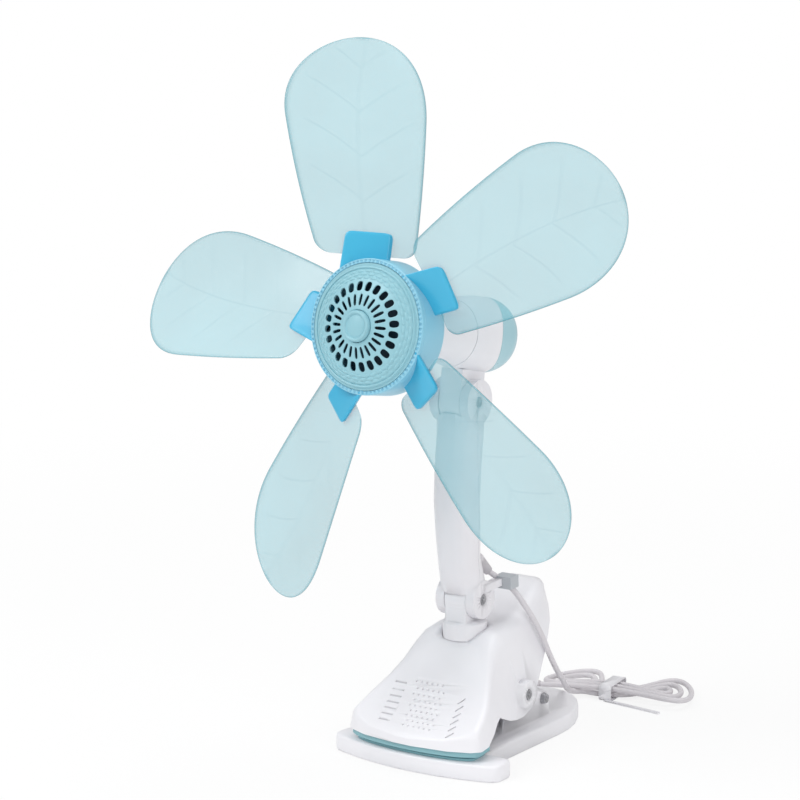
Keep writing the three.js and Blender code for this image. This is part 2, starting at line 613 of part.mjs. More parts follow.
function armBody() {
  const skin = loft([5, 14, 28, 44, 66, 88, 106, ARM_L - 6].map((z) => armSection(z, 0)));
  const cut = EAR_IN;
  const channel = loft([18, 30, 66, 104, ARM_L - NECK_R - 3].map((z) =>
    range(8).map((i) => {
      const t = ((i + 0.5) / 8) * 2 * Math.PI;
      return V(ARM_CHANNEL_R * Math.cos(t), armBow(z) + ARM_CHANNEL_R * Math.sin(t), z);
    })));
  const screwEar = (z) => [
    rod('x', HEAD_R + GAP, EAR_OUT - HEAD_H - 0.4, 30, 0, z),
    rod('x', BOLT_R + FIT, -30, 30, 0, z),
    rod('x', 4.2 + GAP + 0.1, -30, -EAR_OUT + 2.4, 0, z, 6),
  ];
  return build(skin, [
    rod('x', KNEE_R, -EAR_OUT, EAR_OUT, 0, 0, 32),
    rod('x', NECK_R, -EAR_OUT, EAR_OUT, 0, ARM_L, 32),
    guideBar(),
  ], [
    channel,
    rod('x', KNEE_R + RUN, -cut, cut, 0, 0, 32),
    box(-cut, cut, -30, 30, -30, 4),
    rod('x', NECK_R + RUN, -cut, cut, 0, ARM_L, 32),
    box(-cut, cut, -30, 30, ARM_L - 4, ARM_L + 30),
    ...screwEar(0),
    ...screwEar(ARM_L),
    reliefBore(),
    cordRoom(),
  ]);
}

// where the flex leaves the arm, in the arm's frame: low on its back, pointing back and down
const RELIEF = V(3, 5.5, 27);
const RELIEF_WAY = V(0.28, 0.62, -0.73).normalize();

function alongRelief(r0, r1, from, to, sides = 16) {
  const g = new THREE.CylinderGeometry(r1, r0, to - from, sides).translate(0, (from + to) / 2, 0);
  const turn = new THREE.Quaternion().setFromUnitVectors(V(0, 1, 0), RELIEF_WAY);
  return g.applyQuaternion(turn).translate(RELIEF.x, RELIEF.y, RELIEF.z);
}

const reliefBore = () => build(alongRelief(3.5, 3.5, -9, 12), [alongRelief(4.9, 4.9, 3.5, 30)]);

/** Bar on the back of the right ear that carries the flex clip. */
function guideBar() {
  return box(GUIDE_X - 5, GUIDE_X, 0, GUIDE_END, GUIDE_Z - 2.4, GUIDE_Z + 2.4);
}

function addArm() {
  const whole = armBody();
  piece(arm, 'arm_front_shell', common(whole, box(-40, 40, -60, ARM_SPLIT - GAP / 2, -40, ARM_L + 40)), WHITE);
  piece(arm, 'arm_rear_shell', common(whole, box(-40, 40, ARM_SPLIT + GAP / 2, 60, -40, ARM_L + 40)), WHITE);
  const nutIn = -EAR_OUT + 2.4 - 0.2;
  const bolt = (z) => earBolt(0, z, EAR_OUT - 0.4, -EAR_OUT + 0.4);
  const nut = (z) => hexNut(0, z, -EAR_OUT + 0.2, nutIn - 0.2, BOLT_R);
  piece(arm, 'knee_bolt', bolt(0), STEEL);
  piece(arm, 'knee_nut', nut(0), STEEL);
  piece(arm, 'neck_bolt', bolt(ARM_L), STEEL);
  piece(arm, 'neck_nut', nut(ARM_L), STEEL);
  const relief = build(alongRelief(3.2, 3.2, -7, 6), [alongRelief(4.6, 3.1, 5.4, 17), alongRelief(4.6, 4.6, 3.8, 6)],
    [cordRoom()]);
  piece(arm, 'strain_relief', relief, FLEX);
  const block = box(GUIDE_X - 6, GUIDE_X + CLIP_OUT, GUIDE_END + GAP, GUIDE_END + CLIP_L,
    GUIDE_Z - 4.4, GUIDE_Z + 3.6);
  const clip = build(block, [], [cordRoom()]);
  piece(arm, 'cord_clip', clip, GREY_RUBBER);
}

// ---------- fan head: motor housing ----------
const head = new THREE.Group();
head.position.copy(NECK);
head.rotation.x = -TILT;
fan.add(head);
const motor = new THREE.Group(); // y runs backwards along the fan axis, from the grille's ring plane
motor.position.set(0, RING_Y, AXIS_UP);
head.add(motor);
const PIVOT_AT = -RING_Y; // the upper pivot's place along the fan axis

const housingR = through([[NOSE_START, HOUSING_R - 9], [NOSE_SPLIT - 42, HOUSING_R - 7.9],
  [NOSE_SPLIT - 22, HOUSING_R - 6.3], [NOSE_SPLIT - 4, HOUSING_R - 3.9], [NOSE_SPLIT + 12, HOUSING_R - 0.9],
  [CAP_SPLIT - 11, HOUSING_R], [CAP_SPLIT + 3, HOUSING_R - 0.2], [HOUSING_END - 4, HOUSING_R - 1.6],
  [HOUSING_END, HOUSING_R - 5.5]]);

/** Closed profile of a shell of revolution between two stations, open at both ends unless closed by a web. */
function shellOfRevolution(from, to, wall, stations, web) {
  const ys = range(stations + 1).map((i) => lerp(from, to, i / stations));
  const outer = ys.map((y) => [housingR(y), y]);
  const inner = ys.slice().reverse().map((y) => [housingR(y) - wall, y]);
  const g = lathe([...outer, ...inner, outer[0]], 28);
  return web ? build(g, web) : g;
}

function disc(r, y0, y1, bore, sides = 28) {
  return lathe([[bore, y0], [r, y0], [r, y1], [bore, y1], [bore, y0]], sides);
}

/** Everything behind the curved parting between housing and rear cap; `shift` moves the parting back. */
function behindParting(shift) {
  const s = new THREE.Shape();
  const w = HOUSING_R + 4;
  const at = (x) => CAP_SPLIT + shift - CAP_SADDLE * (x / HOUSING_R) ** 2;
  s.moveTo(-w, HOUSING_END + 20);
  range(9).forEach((i) => {
    const x = lerp(-w, w, i / 8);
    s.lineTo(x, at(x));
  });
  s.lineTo(w, HOUSING_END + 20);
  return extrude(s, 100).translate(0, 0, -50);
}

function addMotorHousing() {
  const lugDrop = -AXIS_UP;
  const nose = shellOfRevolution(NOSE_START, NOSE_SPLIT - GAP, HOUSING_WALL, 3, [
    disc(housingR(NOSE_START) - 0.5, NOSE_START, NOSE_START + 3, SHAFT_R + 1.5),
    disc(8.5, NOSE_START + 2, NOSE_START + 12, FRONT_BUSH_R + 0.1, 24),
  ]);
  piece(motor, 'motor_nose_cone', nose, WHITE);

  const barrel = shellOfRevolution(NOSE_SPLIT, HOUSING_END, HOUSING_WALL, 6, [
    disc(housingR(REAR_WEB) - 1, REAR_WEB, REAR_WEB + 2.4, REAR_BUSH_R + 0.1),
  ]);
  const lugR = NECK_R - 0.3;
  const lug = rod('x', lugR, -LUG_W / 2, LUG_W / 2, PIVOT_AT, lugDrop, 32);
  const stem = box(-LUG_W / 2, LUG_W / 2, PIVOT_AT - lugR + 0.5, PIVOT_AT + lugR - 0.5, lugDrop, -HOUSING_R + 2.2);
  const solidBarrel = build(barrel, [lug, stem], [
    rod('x', BOLT_R + FIT, -20, 20, PIVOT_AT, lugDrop),
    behindParting(-GAP / 2),
  ]);
  piece(motor, 'motor_housing', solidBarrel, WHITE);

  const capRings = range(5).map((i) => lerp(CAP_SPLIT - CAP_SADDLE - 2, HOUSING_END, i / 4));
  const capProfile = [
    ...capRings.map((y) => [housingR(y), y]),
    [0, HOUSING_END + 1.2], [0, HOUSING_END - 1.4],
    ...capRings.slice().reverse().map((y) => [housingR(y) - HOUSING_WALL, Math.min(y, HOUSING_END - 2)]),
  ];
  const cap = common(lathe([...capProfile, capProfile[0]], 28), behindParting(GAP / 2));
  const slots = range(5).map((i) => {
    const half = 9 - Math.abs(i - 2) * 1.5;
    const up = (i - 2) * 4.4;
    return box(-half, half, HOUSING_END - 6, HOUSING_END + 6, up - 0.9, up + 0.9);
  });
  piece(motor, 'rear_cap', build(cap, [], slots), CAP_TINT);
}

// ---------- motor ----------
const STACK_FROM = 97;
const STACK_L = 15;
const STACK_BORE = 9.6;
const ROTOR_R = 9.2;
const FRONT_BUSH_R = 6;
const REAR_BUSH_R = 5;
const REAR_WEB = 119;

function addMotor() {
  const outerR = housingR(STACK_FROM) - HOUSING_WALL - GAP;
  const slots = range(8).map((i) => box(-1.6, 1.6, 0, STACK_L + 20, STACK_BORE - 2, outerR - 4)
    .translate(0, STACK_FROM - 10, 0).rotateY((i / 8) * 2 * Math.PI));
  const stack = build(disc(outerR, STACK_FROM, STACK_FROM + STACK_L, STACK_BORE, 32), [], slots);
  piece(motor, 'stator_stack', stack, IRON);
  const coil = (y0, y1) => disc(outerR - 3, y0, y1, STACK_BORE + 1.5, 24);
  piece(motor, 'front_windings', coil(STACK_FROM - 5, STACK_FROM - GAP), COPPER);
  piece(motor, 'rear_windings', coil(STACK_FROM + STACK_L + GAP, REAR_WEB - GAP - 1), COPPER);
  const bush = (r, y0, y1) => disc(r, y0, y1, SHAFT_R + FIT, 20);
  piece(motor, 'front_bush', bush(FRONT_BUSH_R, NOSE_START + 4, NOSE_START + 12), BRONZE);
  piece(motor, 'rear_bush', bush(REAR_BUSH_R, REAR_WEB - 1, REAR_WEB + 4), BRONZE);
  piece(motor, 'rotor_core', disc(ROTOR_R, STACK_FROM - 1, STACK_FROM + STACK_L + 1, SHAFT_R + FIT, 24), IRON);
}

// ---------- rotor: hub, grille, carrier and blades ----------
const domeY = (r) => (r < DOME_R ? -DOME_H * (1 - (r / DOME_R) ** 2) : 0);

/** Slot plan of one vent: an oval or a straight slot along the radius, as a prism through the dome. */
function vent([r0, r1, width], angle, sides) {
  const half = (r1 - r0) / 2;
  const ring = (y) => range(sides).map((i) => {
    const t = ((i + 0.5) / sides) * 2 * Math.PI;
    return V((width / 2) * Math.sin(t), y, (r0 + r1) / 2 + half * Math.cos(t));
  });
  return loft([ring(-DOME_H - 4), ring(8)]).rotateY(angle);
}

function grille() {
  const rs = [BUTTON_R + 0.4, 20.5, 28, DOME_R];
  const profile = [
    ...rs.map((r) => [r, domeY(r)]),
    [DOME_R + 0.6, -0.9], [DOME_R + 1.6, -0.5], [HUB_R - HUB_WALL - GAP, 0.9],
    [HUB_R - HUB_WALL - GAP, 4.5], [HUB_R - HUB_WALL - GAP - FACE_T, 4.5],
    ...rs.slice().reverse().map((r) => [r - 0.3, domeY(r) + FACE_T]),
  ];
  const face = lathe([...profile, profile[0]], VENTS * 2);
  const vents = range(VENTS).flatMap((i) => {
    const a = (i / VENTS) * 2 * Math.PI;
    return [vent(VENT_IN, a, 4), vent(VENT_OUT, a + Math.PI / VENTS, 6)];
  });
  return build(face, [], vents);
}

/** Ring with fine radial ribs round the grille. */
function knurlRing() {
  const steps = KNURLS * 2;
  const [r0, r1] = [HUB_R - KNURL_W, HUB_R + 0.1];
  const ring = (i) => {
    const a = (i / steps) * 2 * Math.PI;
    const rise = i % 2 ? 0 : 0.7;
    return [[r0, 1.2 - rise], [r1, 1.6 - rise], [r1, 3.4], [r0, 3.4]]
      .map(([r, y]) => V(r * Math.sin(a), y, r * Math.cos(a)));
  };
  const rings = range(steps).map(ring);
  const n = rings[0].length;
  const index = [];
  rings.forEach((_, r) => range(n).forEach((i) => {
    const q = ((r + 1) % steps) * n;
    const [a, b, c, d] = [r * n + i, r * n + ((i + 1) % n), q + ((i + 1) % n), q + i];
    index.push(a, b, c, a, c, d);
  }));
  const g = new THREE.BufferGeometry();
  g.setAttribute('position', new THREE.Float32BufferAttribute(rings.flat().flatMap((p) => [p.x, p.y, p.z]), 3));
  g.setIndex(index);
  return g;
}

/** Blade surface: distance in front of the blade plane at (x, radius). */
function bladeLift(x, y) {
  const past = Math.max(0, y - TAB_END);
  const pitch = THREE.MathUtils.degToRad(25.2 - (6 * (y - 50)) / 100);
  const pivotX = 5 - 0.155 * (y - 50);
  const u = (x - bladeMid(y)) / bladeBase(y);
  const hollow = 2.4 + 2.6 * Math.min(1, past / 60);
  const leanBack = BLADE_LEAN * (past / (TIP_Y - TAB_END)) ** 2;
  return Math.tan(pitch) * (pivotX - x) - hollow * (1 - u * u) - leanBack;
}
const pastTipStart = (y) => Math.max(0, y - TIP_START) / (TIP_Y - TIP_START);
const bladeMid = (y) => -12.9 - 0.215 * (y - 50) + TIP_SKEW * pastTipStart(y) ** 2;
const bladeBase = (y) => ROOT_HALF + 0.225 * (y - ROOT_Y) - 0.0006 * (y - ROOT_Y) ** 2;
function bladeHalf(y) {
  const tip = Math.sqrt(Math.max(0, 1 - pastTipStart(y) ** 2));
  const corner = y < ROOT_Y + ROOT_CORNER
    ? ROOT_CORNER * (1 - Math.sqrt(1 - ((ROOT_Y + ROOT_CORNER - y) / ROOT_CORNER) ** 2)) : 0;
  return bladeBase(y) * tip - corner;
}

/** Slab that follows the blade surface between two radii, its front face `front` ahead of the surface. */
function bladeSlab(ys, halfAt, midAt, across, front, thick) {
  return loft(ys.map((y) => {
    const xs = range(across + 1).map((i) => midAt(y) + halfAt(y) * lerp(-1, 1, i / across));
    const face = (d) => xs.map((x) => V(x, BLADE_PLANE - bladeLift(x, y) - d, y));
    return [...face(front), ...face(front - thick).reverse()];
  }));
}

function bladeGeometry() {
  const start = range(3).map((i) => ROOT_Y + ROOT_CORNER * (1 - Math.cos(((i + 0.3) / 3) * (Math.PI / 2))));
  const middle = [ROOT_Y + ROOT_CORNER, 68, 88, 108];
  const tip = range(8).map((i) => TIP_START + (TIP_Y - TIP_START) * Math.sin((i / 7.15) * (Math.PI / 2)));
  const paddle = bladeSlab([...start, ...middle, ...tip], bladeHalf, bladeMid, 6, BLADE_T / 2, BLADE_T);
  const neck = bladeSlab([CARRIER_R + 1, ROOT_Y + 4], () => TAB_HALF - 2.4, () => TAB_X, 2, BLADE_T / 2, BLADE_T);
  const neckRoom = bladeSlab([10, 60], () => TAB_HALF - 1.9, () => TAB_X, 2, 12, 24);
  const hubRoom = build(rod('y', HUB_R + 0.7, -20, 60, 0, 0, 45), [], [neckRoom]);
  return build(paddle, [neck], [hubRoom]);
}

function carrier() {
  const plate = disc(CARRIER_R - 2, 15.4, 18, SHAFT_R + FIT, 30);
  const boss = disc(7.5, 8, 27, SHAFT_R + FIT, 24);
  const rim = disc(CARRIER_R - 1, 9, 20, CARRIER_R - 3.4, 30);
  const front = BLADE_T / 2 + GAP + TAB_T;
  const tabs = range(BLADES).map((k) =>
    bladeSlab([CARRIER_R - 3, 43, 52, TAB_END - 1.2, TAB_END], (y) => TAB_HALF - (y > TAB_END - 1 ? 1.4 : 0),
      () => TAB_X, 2, front, TAB_T).rotateY((k / BLADES) * 2 * Math.PI));
  const ringRoom = rod('y', HUB_R + GAP + 0.2, -30, HUB_FRONT + GAP + 0.8, 0, 0, 45);
  return build(plate, [boss, rim, ...tabs], [ringRoom]);
}

function hubShell() {
  const wall = lathe([
    [HUB_R - HUB_WALL, HUB_FRONT], [HUB_R, HUB_FRONT], [HUB_R, HUB_DEPTH - 1.5], [HUB_R - 1.5, HUB_DEPTH],
    [12, HUB_DEPTH + 1], [12, HUB_DEPTH - 1.4], [HUB_R - HUB_WALL, HUB_DEPTH - 2.4], [HUB_R - HUB_WALL, HUB_FRONT],
  ], 45);
  const slots = range(BLADES).map((k) => bladeSlab([CARRIER_R - 6, 48], () => TAB_HALF + 0.5, () => TAB_X, 2,
    BLADE_T / 2 + GAP + TAB_T + 0.5, TAB_T + BLADE_T + GAP + 1).rotateY((k / BLADES) * 2 * Math.PI));
  return build(wall, [], slots);
}

function addRotor() {
  piece(motor, 'shaft', rod('y', SHAFT_R, 1, REAR_WEB + 6, 0, 0, 20), STEEL);
  piece(motor, 'blade_carrier', carrier(), TAB_CYAN);
  piece(motor, 'hub_shell', hubShell(), HUB_BLUE);
  piece(motor, 'front_grille', grille(), GRILLE_BLUE);
  piece(motor, 'knurl_ring', knurlRing(), HUB_BLUE);
  const button = lathe([[0, -DOME_H - 1.4], [BUTTON_R - 3, -DOME_H - 1.3], [BUTTON_R - 1.4, -DOME_H - 0.9],
    [BUTTON_R - 0.8, -DOME_H - 1.6], [BUTTON_R, -DOME_H - 0.8], [BUTTON_R, -DOME_H + 3], [0, -DOME_H + 3]], 32);
  piece(motor, 'centre_button', button, GRILLE_BLUE);
  const nut = build(rod('y', 5, 2.4, 7.6, 0, 0, 6), [], [rod('y', SHAFT_R + FIT, 0, 20, 0, 0, 16)]);
  piece(motor, 'hub_nut', nut, STEEL);
  for (const k of range(BLADES)) {
    const blade = piece(motor, `blade_${k + 1}`, bladeGeometry(), BLADE_TINT);
    blade.rotation.y = (k / BLADES) * 2 * Math.PI;
  }
}

// ---------- flex ----------
/** Middle line of the bundle at distance a from the tie, bending a little there: [point, direction]. */
function hankAxis(a) {
  const turn = THREE.MathUtils.degToRad(8 + (27 * a * Math.abs(a)) / (a * a + 18 * 18));
  const way = V(Math.cos(turn), Math.sin(turn), 0);
  return [HANK_AT.clone().addScaledVector(way, a), way];
}

/** Folded bundle: nested loops that narrow at the tie, far strands below and near strands above. */
function hankPoint(t) {
  const turns = (t - Math.PI / 2) / (2 * Math.PI);
  const peak = HANK_WAIST ** (HANK_WAIST / 2) / (1 + HANK_WAIST) ** ((1 + HANK_WAIST) / 2);
  const s = Math.sin(t);
  const c = Math.cos(t);
  const [on, way] = hankAxis(-(HANK_HALF + HANK_PITCH * turns) * c);
  const spread = (HANK_WIDE + HANK_PITCH * turns) * ((Math.abs(c) ** HANK_WAIST * s) / peak);
  const side = Math.sign(s) * (turns - 1) * HANK_PITCH * s * s + spread;
  const away = Math.max(0, turns - HANK_LOOPS + 0.5) * 2 * Math.PI;
  const out = side - 8 * away * away; // the last strand bends away from the bundle
  const up = CORD_R + 0.1 + (TIE_T + GAP) * s * s + (2 * CORD_R + 1.2) * ((1 - s) / 2);
  return V(on.x - way.y * out, on.y + way.x * out, up);
}

function hankCourse(perLoop) {
  const n = Math.round((perLoop * (HANK_TO - HANK_FROM)) / (2 * Math.PI));
  return range(n + 1).map((i) => hankPoint(lerp(HANK_FROM, HANK_TO, i / n)));
}

/** Least air between strands of the bundle, measured on points of the middle line. */
function hankLeastGap() {
  const p = hankCourse(96);
  let least = Infinity;
  p.forEach((a, i) => {
    for (let k = i + 16; k < p.length; k++) least = Math.min(least, a.distanceTo(p[k]) - 2 * CORD_R);
  });
  return least;
}

/** Band round the waist of the bundle, with its loose end lying on the table. */
function cordTie() {
  const [x0, x1] = [-1.5 * HANK_PITCH - CORD_R - 2, HANK_PITCH + CORD_R + 3.4];
  const z1 = 4 * CORD_R + 1.3 + TIE_T + 2 * GAP;
  const band = (grow) => {
    const s = new THREE.Shape();
    const r = CORD_R + grow;
    s.absarc(x1 - CORD_R, TIE_T + CORD_R, r, -Math.PI / 2, 0, false);
    s.absarc(x1 - CORD_R, z1 - CORD_R, r, 0, Math.PI / 2, false);
    s.absarc(x0 + CORD_R, z1 - CORD_R, r, Math.PI / 2, Math.PI, false);
    s.absarc(x0 + CORD_R, TIE_T + CORD_R, r, Math.PI, 1.5 * Math.PI, false);
    return s;
  };
  const [, way] = hankAxis(0);
  const upright = new THREE.Matrix4().makeBasis(V(-way.y, way.x, 0), V(0, 0, 1), way);
  const stand = (g) => g.translate(0, 0, -TIE_L / 2).applyMatrix4(upright).translate(HANK_AT.x, HANK_AT.y, 0);
  const ring = build(stand(extrude(band(TIE_T), TIE_L, 0, 4)), [], [
    stand(extrude(band(0), TIE_L + 4, 0, 4).translate(0, 0, -2))]);
  const tail = box(0, 46, -1.4, 1.4, 0.1, 1.3).rotateZ(-0.12)
    .translate(HANK_AT.x + 2, HANK_AT.y + x0 - TIE_T + 0.6, 0);
  return build(ring, [tail]);
}

/** Moulded plug with two pins, lying on the table where the bundle's last strand leads. */
function addPlug() {
  const end = hankPoint(HANK_TO);
  const before = hankPoint(HANK_TO - 0.05);
  const plug = new THREE.Group();
  const way = end.clone().sub(before).setZ(0).normalize();
  plug.position.set(end.x, end.y, end.z).addScaledVector(way, GAP);
  plug.rotation.z = Math.atan2(-way.x, way.y);
  fan.add(plug);
  const body = lathe([[0, 0], [2.6, 0], [3.4, 9], [PLUG_R - 1, 13], [PLUG_R, 15], [PLUG_R, PLUG_L - 1],
    [PLUG_R - 1, PLUG_L], [0, PLUG_L]], 16);
  piece(plug, 'plug_body', build(body, [], [
    box(-20, 20, -5, 60, -20, -end.z + 0.1), box(-20, 20, -5, 60, 6, 20),
    ...[-1, 1].map((s) => rod('y', 2.05, PLUG_L - 6, PLUG_L + 2, s * 4.6, 0, 12))]), FLEX);
  for (const s of [-1, 1]) {
    piece(plug, `plug_pin_${s < 0 ? 1 : 2}`, rod('y', 2, PLUG_L - 5.8, PLUG_L + 17, s * 4.6, 0, 12, 1.8), STEEL);
  }
}

function addFlex() {
  piece(fan, 'power_cord', tube(cordCourse(), CORD_R, 8), FLEX);
  piece(fan, 'cord_hank', tube(hankCourse(24), CORD_R, 6), FLEX);
  piece(fan, 'cord_tie', cordTie(), WHITE);
  addPlug();
}

addClamp();
addSwivel();
addArm();
addMotorHousing();
addMotor();
addRotor();
addFlex();
console.log('least gap between strands of the hank', hankLeastGap().toFixed(2), 'mm');

export default fan;
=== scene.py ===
import json
import math

import bmesh
import bpy
import numpy as np
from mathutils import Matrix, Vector


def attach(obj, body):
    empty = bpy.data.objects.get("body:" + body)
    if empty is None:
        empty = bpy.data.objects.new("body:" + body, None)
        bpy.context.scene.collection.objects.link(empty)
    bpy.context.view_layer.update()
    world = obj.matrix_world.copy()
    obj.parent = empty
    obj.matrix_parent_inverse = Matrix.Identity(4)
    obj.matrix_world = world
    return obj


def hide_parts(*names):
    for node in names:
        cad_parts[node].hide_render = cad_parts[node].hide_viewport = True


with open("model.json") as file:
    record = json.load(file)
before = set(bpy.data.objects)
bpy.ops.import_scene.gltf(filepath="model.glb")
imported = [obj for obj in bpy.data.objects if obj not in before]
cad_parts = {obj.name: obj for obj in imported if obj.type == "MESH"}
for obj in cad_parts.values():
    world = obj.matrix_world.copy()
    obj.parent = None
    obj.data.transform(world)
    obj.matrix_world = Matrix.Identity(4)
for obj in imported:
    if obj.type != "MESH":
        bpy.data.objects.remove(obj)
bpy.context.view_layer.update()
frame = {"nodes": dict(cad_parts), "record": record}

MM = 0.001

# ---------- measures of the fan, in millimetres, as in its solids ----------
NECK = np.array([0.0, -20.0, 228.0])  # the upper knuckle's axis
HEAD_TILT = math.radians(8.5)
PIVOT_AT, AXIS_UP = 111.5, 42.5  # the upper knuckle's place behind the ring plane and below the fan axis
RING_PLANE = np.array([0.0, -PIVOT_AT, AXIS_UP])
GAP = 0.3  # between two pieces that do not touch

CORD_R = 1.9
HANK_AT = np.array([24.5, 137.0])  # middle of the tie
HANK_LOOPS = 3
HANK_PITCH = 7.2  # from one strand to the next
HANK_HALF = 38.0  # innermost loop's half length
HANK_WIDE = 10.5  # innermost loop's half width
HANK_LEAD = 0.7  # last part of the turn, which leads to the plug
HANK_WAIST = 2  # how slowly the loops open from the tie
HANK_WAY, HANK_SWING = 8, 27  # direction at the tie, and its change towards the far ends, in degrees
HANK_EASE = 18  # distance from the tie where half of that change is reached
HANK_STRAY = 8  # how fast the last strand leaves the bundle
STRAND_GAP = 1.2  # between the strands that cross at the tie, on top of their thickness
TIE_T = 0.9
HANK_FROM = math.pi / 2
HANK_TO = HANK_FROM + 2 * math.pi * (HANK_LOOPS - 0.5) + HANK_LEAD
CORD_ROUTE = np.array([
    [1.3, -13.7, 129.8], [4.5, -6.2, 121.8], [7.8, 1.3, 113.7], [11.5, 6.8, 108.8],
    [16, 10.2, 104.6], [21.5, 12.2, 99.5], [27.5, 14.5, 91], [32, 20, 79.5],
    [34.4, 26, 68], [34.6, 33, 57], [33, 42.5, 46.5], [28.5, 56, 36.5],
    [20.5, 75, 26], [11, 93, 17.5], [5.5, 107, 9], [4, 116, 5], [7.5, 125.5, 3.3],
])


# ---------- frame of the fan head ----------
def turn_x(angle):
    """Matrix of a turn about the X axis."""
    c, s = math.cos(angle), math.sin(angle)
    return np.array([[1, 0, 0], [0, c, -s], [0, s, c]])


def turn_y(angle):
    """Matrix of a turn about the fan axis, which carries Z towards X."""
    c, s = math.cos(angle), math.sin(angle)
    return np.array([[c, 0, s], [0, 1, 0], [-s, 0, c]])


HEAD_TURN = turn_x(-HEAD_TILT)


def on_head(points):
    """Carries points from the motor's frame, whose Y runs back from the grille, to the fan's frame."""
    return (points + RING_PLANE) @ HEAD_TURN.T + NECK


def off_head(points):
    """Carries points from the fan's frame to the motor's frame."""
    return (points - NECK) @ HEAD_TURN - RING_PLANE


# ---------- meshes ----------
def skin(rows, cols, wrap_rows):
    """Corner numbers of the quads between neighbouring points of a grid, row by row; each row is a ring."""
    r = np.arange(rows if wrap_rows else rows - 1)[:, None]
    c = np.arange(cols)[None, :]
    r1, c1 = (r + 1) % rows, (c + 1) % cols
    quads = np.stack([r * cols + c, r * cols + c1, r1 * cols + c1, r1 * cols + c], -1)
    return quads.reshape(-1, 4)


def ends(rows, cols):
    """The two polygons that close the first and last row of a grid."""
    first = np.arange(cols)
    return [first[::-1].tolist(), (first + (rows - 1) * cols).tolist()]


class Shape:
    """Points and faces gathered from several surfaces, in millimetres."""

    def __init__(self):
        self.points = []
        self.faces = []
        self.count = 0

    def add(self, points, faces):
        """Adds points and faces whose corner numbers count from the first of these points."""
        points = np.asarray(points, float).reshape(-1, 3)
        self.faces += [[i + self.count for i in f] for f in faces]
        self.points.append(points)
        self.count += len(points)
        return self

    def join(self, other):
        """Adds all of another shape."""
        return self.add(np.concatenate(other.points), other.faces)

    def grid(self, points, wrap_rows=False, capped=False):
        """Adds a grid of points (rows, columns, 3); capped closes its first and last row."""
        rows, cols = points.shape[:2]
        faces = skin(rows, cols, wrap_rows).tolist()
        if capped:
            faces += ends(rows, cols)
        return self.add(points, faces)

    def placed(self, place):
        """Carries every point by the function place."""
        self.points = [place(p) for p in self.points]
        return self


def new_object(name, shape, sharp=35):
    """Mesh object of a shape, with the edges over `sharp` degrees kept crisp."""
    mesh = bpy.data.meshes.new(name)
    mesh.from_pydata((np.concatenate(shape.points) * MM).tolist(), [], shape.faces)
    obj = bpy.data.objects.new(name, mesh)
    bpy.context.scene.collection.objects.link(obj)
    tidy_mesh(mesh, sharp)
    return obj


def tidy_mesh(mesh, sharp):
    """Merges corners, turns faces outwards and shades all smooth but the edges over `sharp` degrees."""
    work = bmesh.new()
    work.from_mesh(mesh)
    bmesh.ops.remove_doubles(work, verts=work.verts, dist=2e-6)
    bmesh.ops.dissolve_degenerate(work, edges=work.edges, dist=1e-6)
    bmesh.ops.recalc_face_normals(work, faces=work.faces)
    work.to_mesh(mesh)
    work.free()
    mesh.shade_smooth()
    mesh.set_sharp_from_angle(angle=math.radians(sharp))


def settle(obj, sharp):
    """Applies the modifiers that obj has."""
    bpy.context.view_layer.update()
    graph = bpy.context.evaluated_depsgraph_get()
    mesh = bpy.data.meshes.new_from_object(obj.evaluated_get(graph))
    mesh.name = obj.name
    obj.modifiers.clear()
    obj.data = mesh
    tidy_mesh(mesh, sharp)


def combine(obj, tool, how, sharp=35):
    """Joins (UNION) or cuts (DIFFERENCE) obj with the object tool, which is then removed."""
    change = obj.modifiers.new(how.lower(), "BOOLEAN")
    change.object = tool
    change.operation = how
    change.solver = "EXACT"
    settle(obj, sharp)
    bpy.data.objects.remove(tool)


def soften(obj, width, segments=2, angle=35):
    """Rounds the crisp edges of a piece by `width` millimetres."""
    bevel = obj.modifiers.new("soft edges", "BEVEL")
    bevel.width = width * MM
    bevel.segments = segments
    bevel.limit_method = "ANGLE"
    bevel.angle_limit = math.radians(angle)
    bevel.harden_normals = True
    return obj


def finished(obj, body, material, slot, *nodes):
    """Gives a piece its material, puts it on its body and lets it stand for its nodes; slot is not used."""
    obj.data.materials.clear()
    obj.data.materials.append(material)
    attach(obj, body)
    if nodes:
        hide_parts(*nodes)
    return obj


def from_node(node, sharp=30):
    """A node's own shape as a new object, with its corners merged and its round faces shaded smooth."""
    obj = bpy.data.objects.new(node + "_fine", frame["nodes"][node].data.copy())
    bpy.context.scene.collection.objects.link(obj)
    tidy_mesh(obj.data, sharp)
    return obj


# ---------- curves and simple solids ----------
def through(pairs):
    """Smooth function of one value through a few (value, result) pairs, with no overshoot:
    cubic pieces whose slope at a pair is the harmonic mean of the slopes on its two sides."""
    x, y = np.array(pairs, float).T
    slope = np.diff(y) / np.diff(x)
    both = slope[:-1] * slope[1:]
    total = slope[:-1] + slope[1:]
    inner = np.where(both > 0, 2 * both / np.where(total == 0, 1, total), 0)
    tangent = np.concatenate([slope[:1], inner, slope[-1:]])

    def at(value):
        """The function's result, held level outside the pairs."""
        v = np.clip(value, x[0], x[-1])
        i = np.clip(np.searchsorted(x, v, side="right") - 1, 0, len(slope) - 1)
        h = x[i + 1] - x[i]
        t = (v - x[i]) / h
        return ((2 * t**3 - 3 * t**2 + 1) * y[i] + (t**3 - 2 * t**2 + t) * h * tangent[i]
                + (3 * t**2 - 2 * t**3) * y[i + 1] + (t**3 - t**2) * h * tangent[i + 1])

    return at


def ramp(a, b, n):
    """n values at equal steps, both ends among them."""
    return np.linspace(a, b, n)


def polar(r, y, a):
    """Points at radius r and angle a round the Y axis, at station y."""
    return np.stack(np.broadcast_arrays(r * np.sin(a), y, r * np.cos(a)), -1)


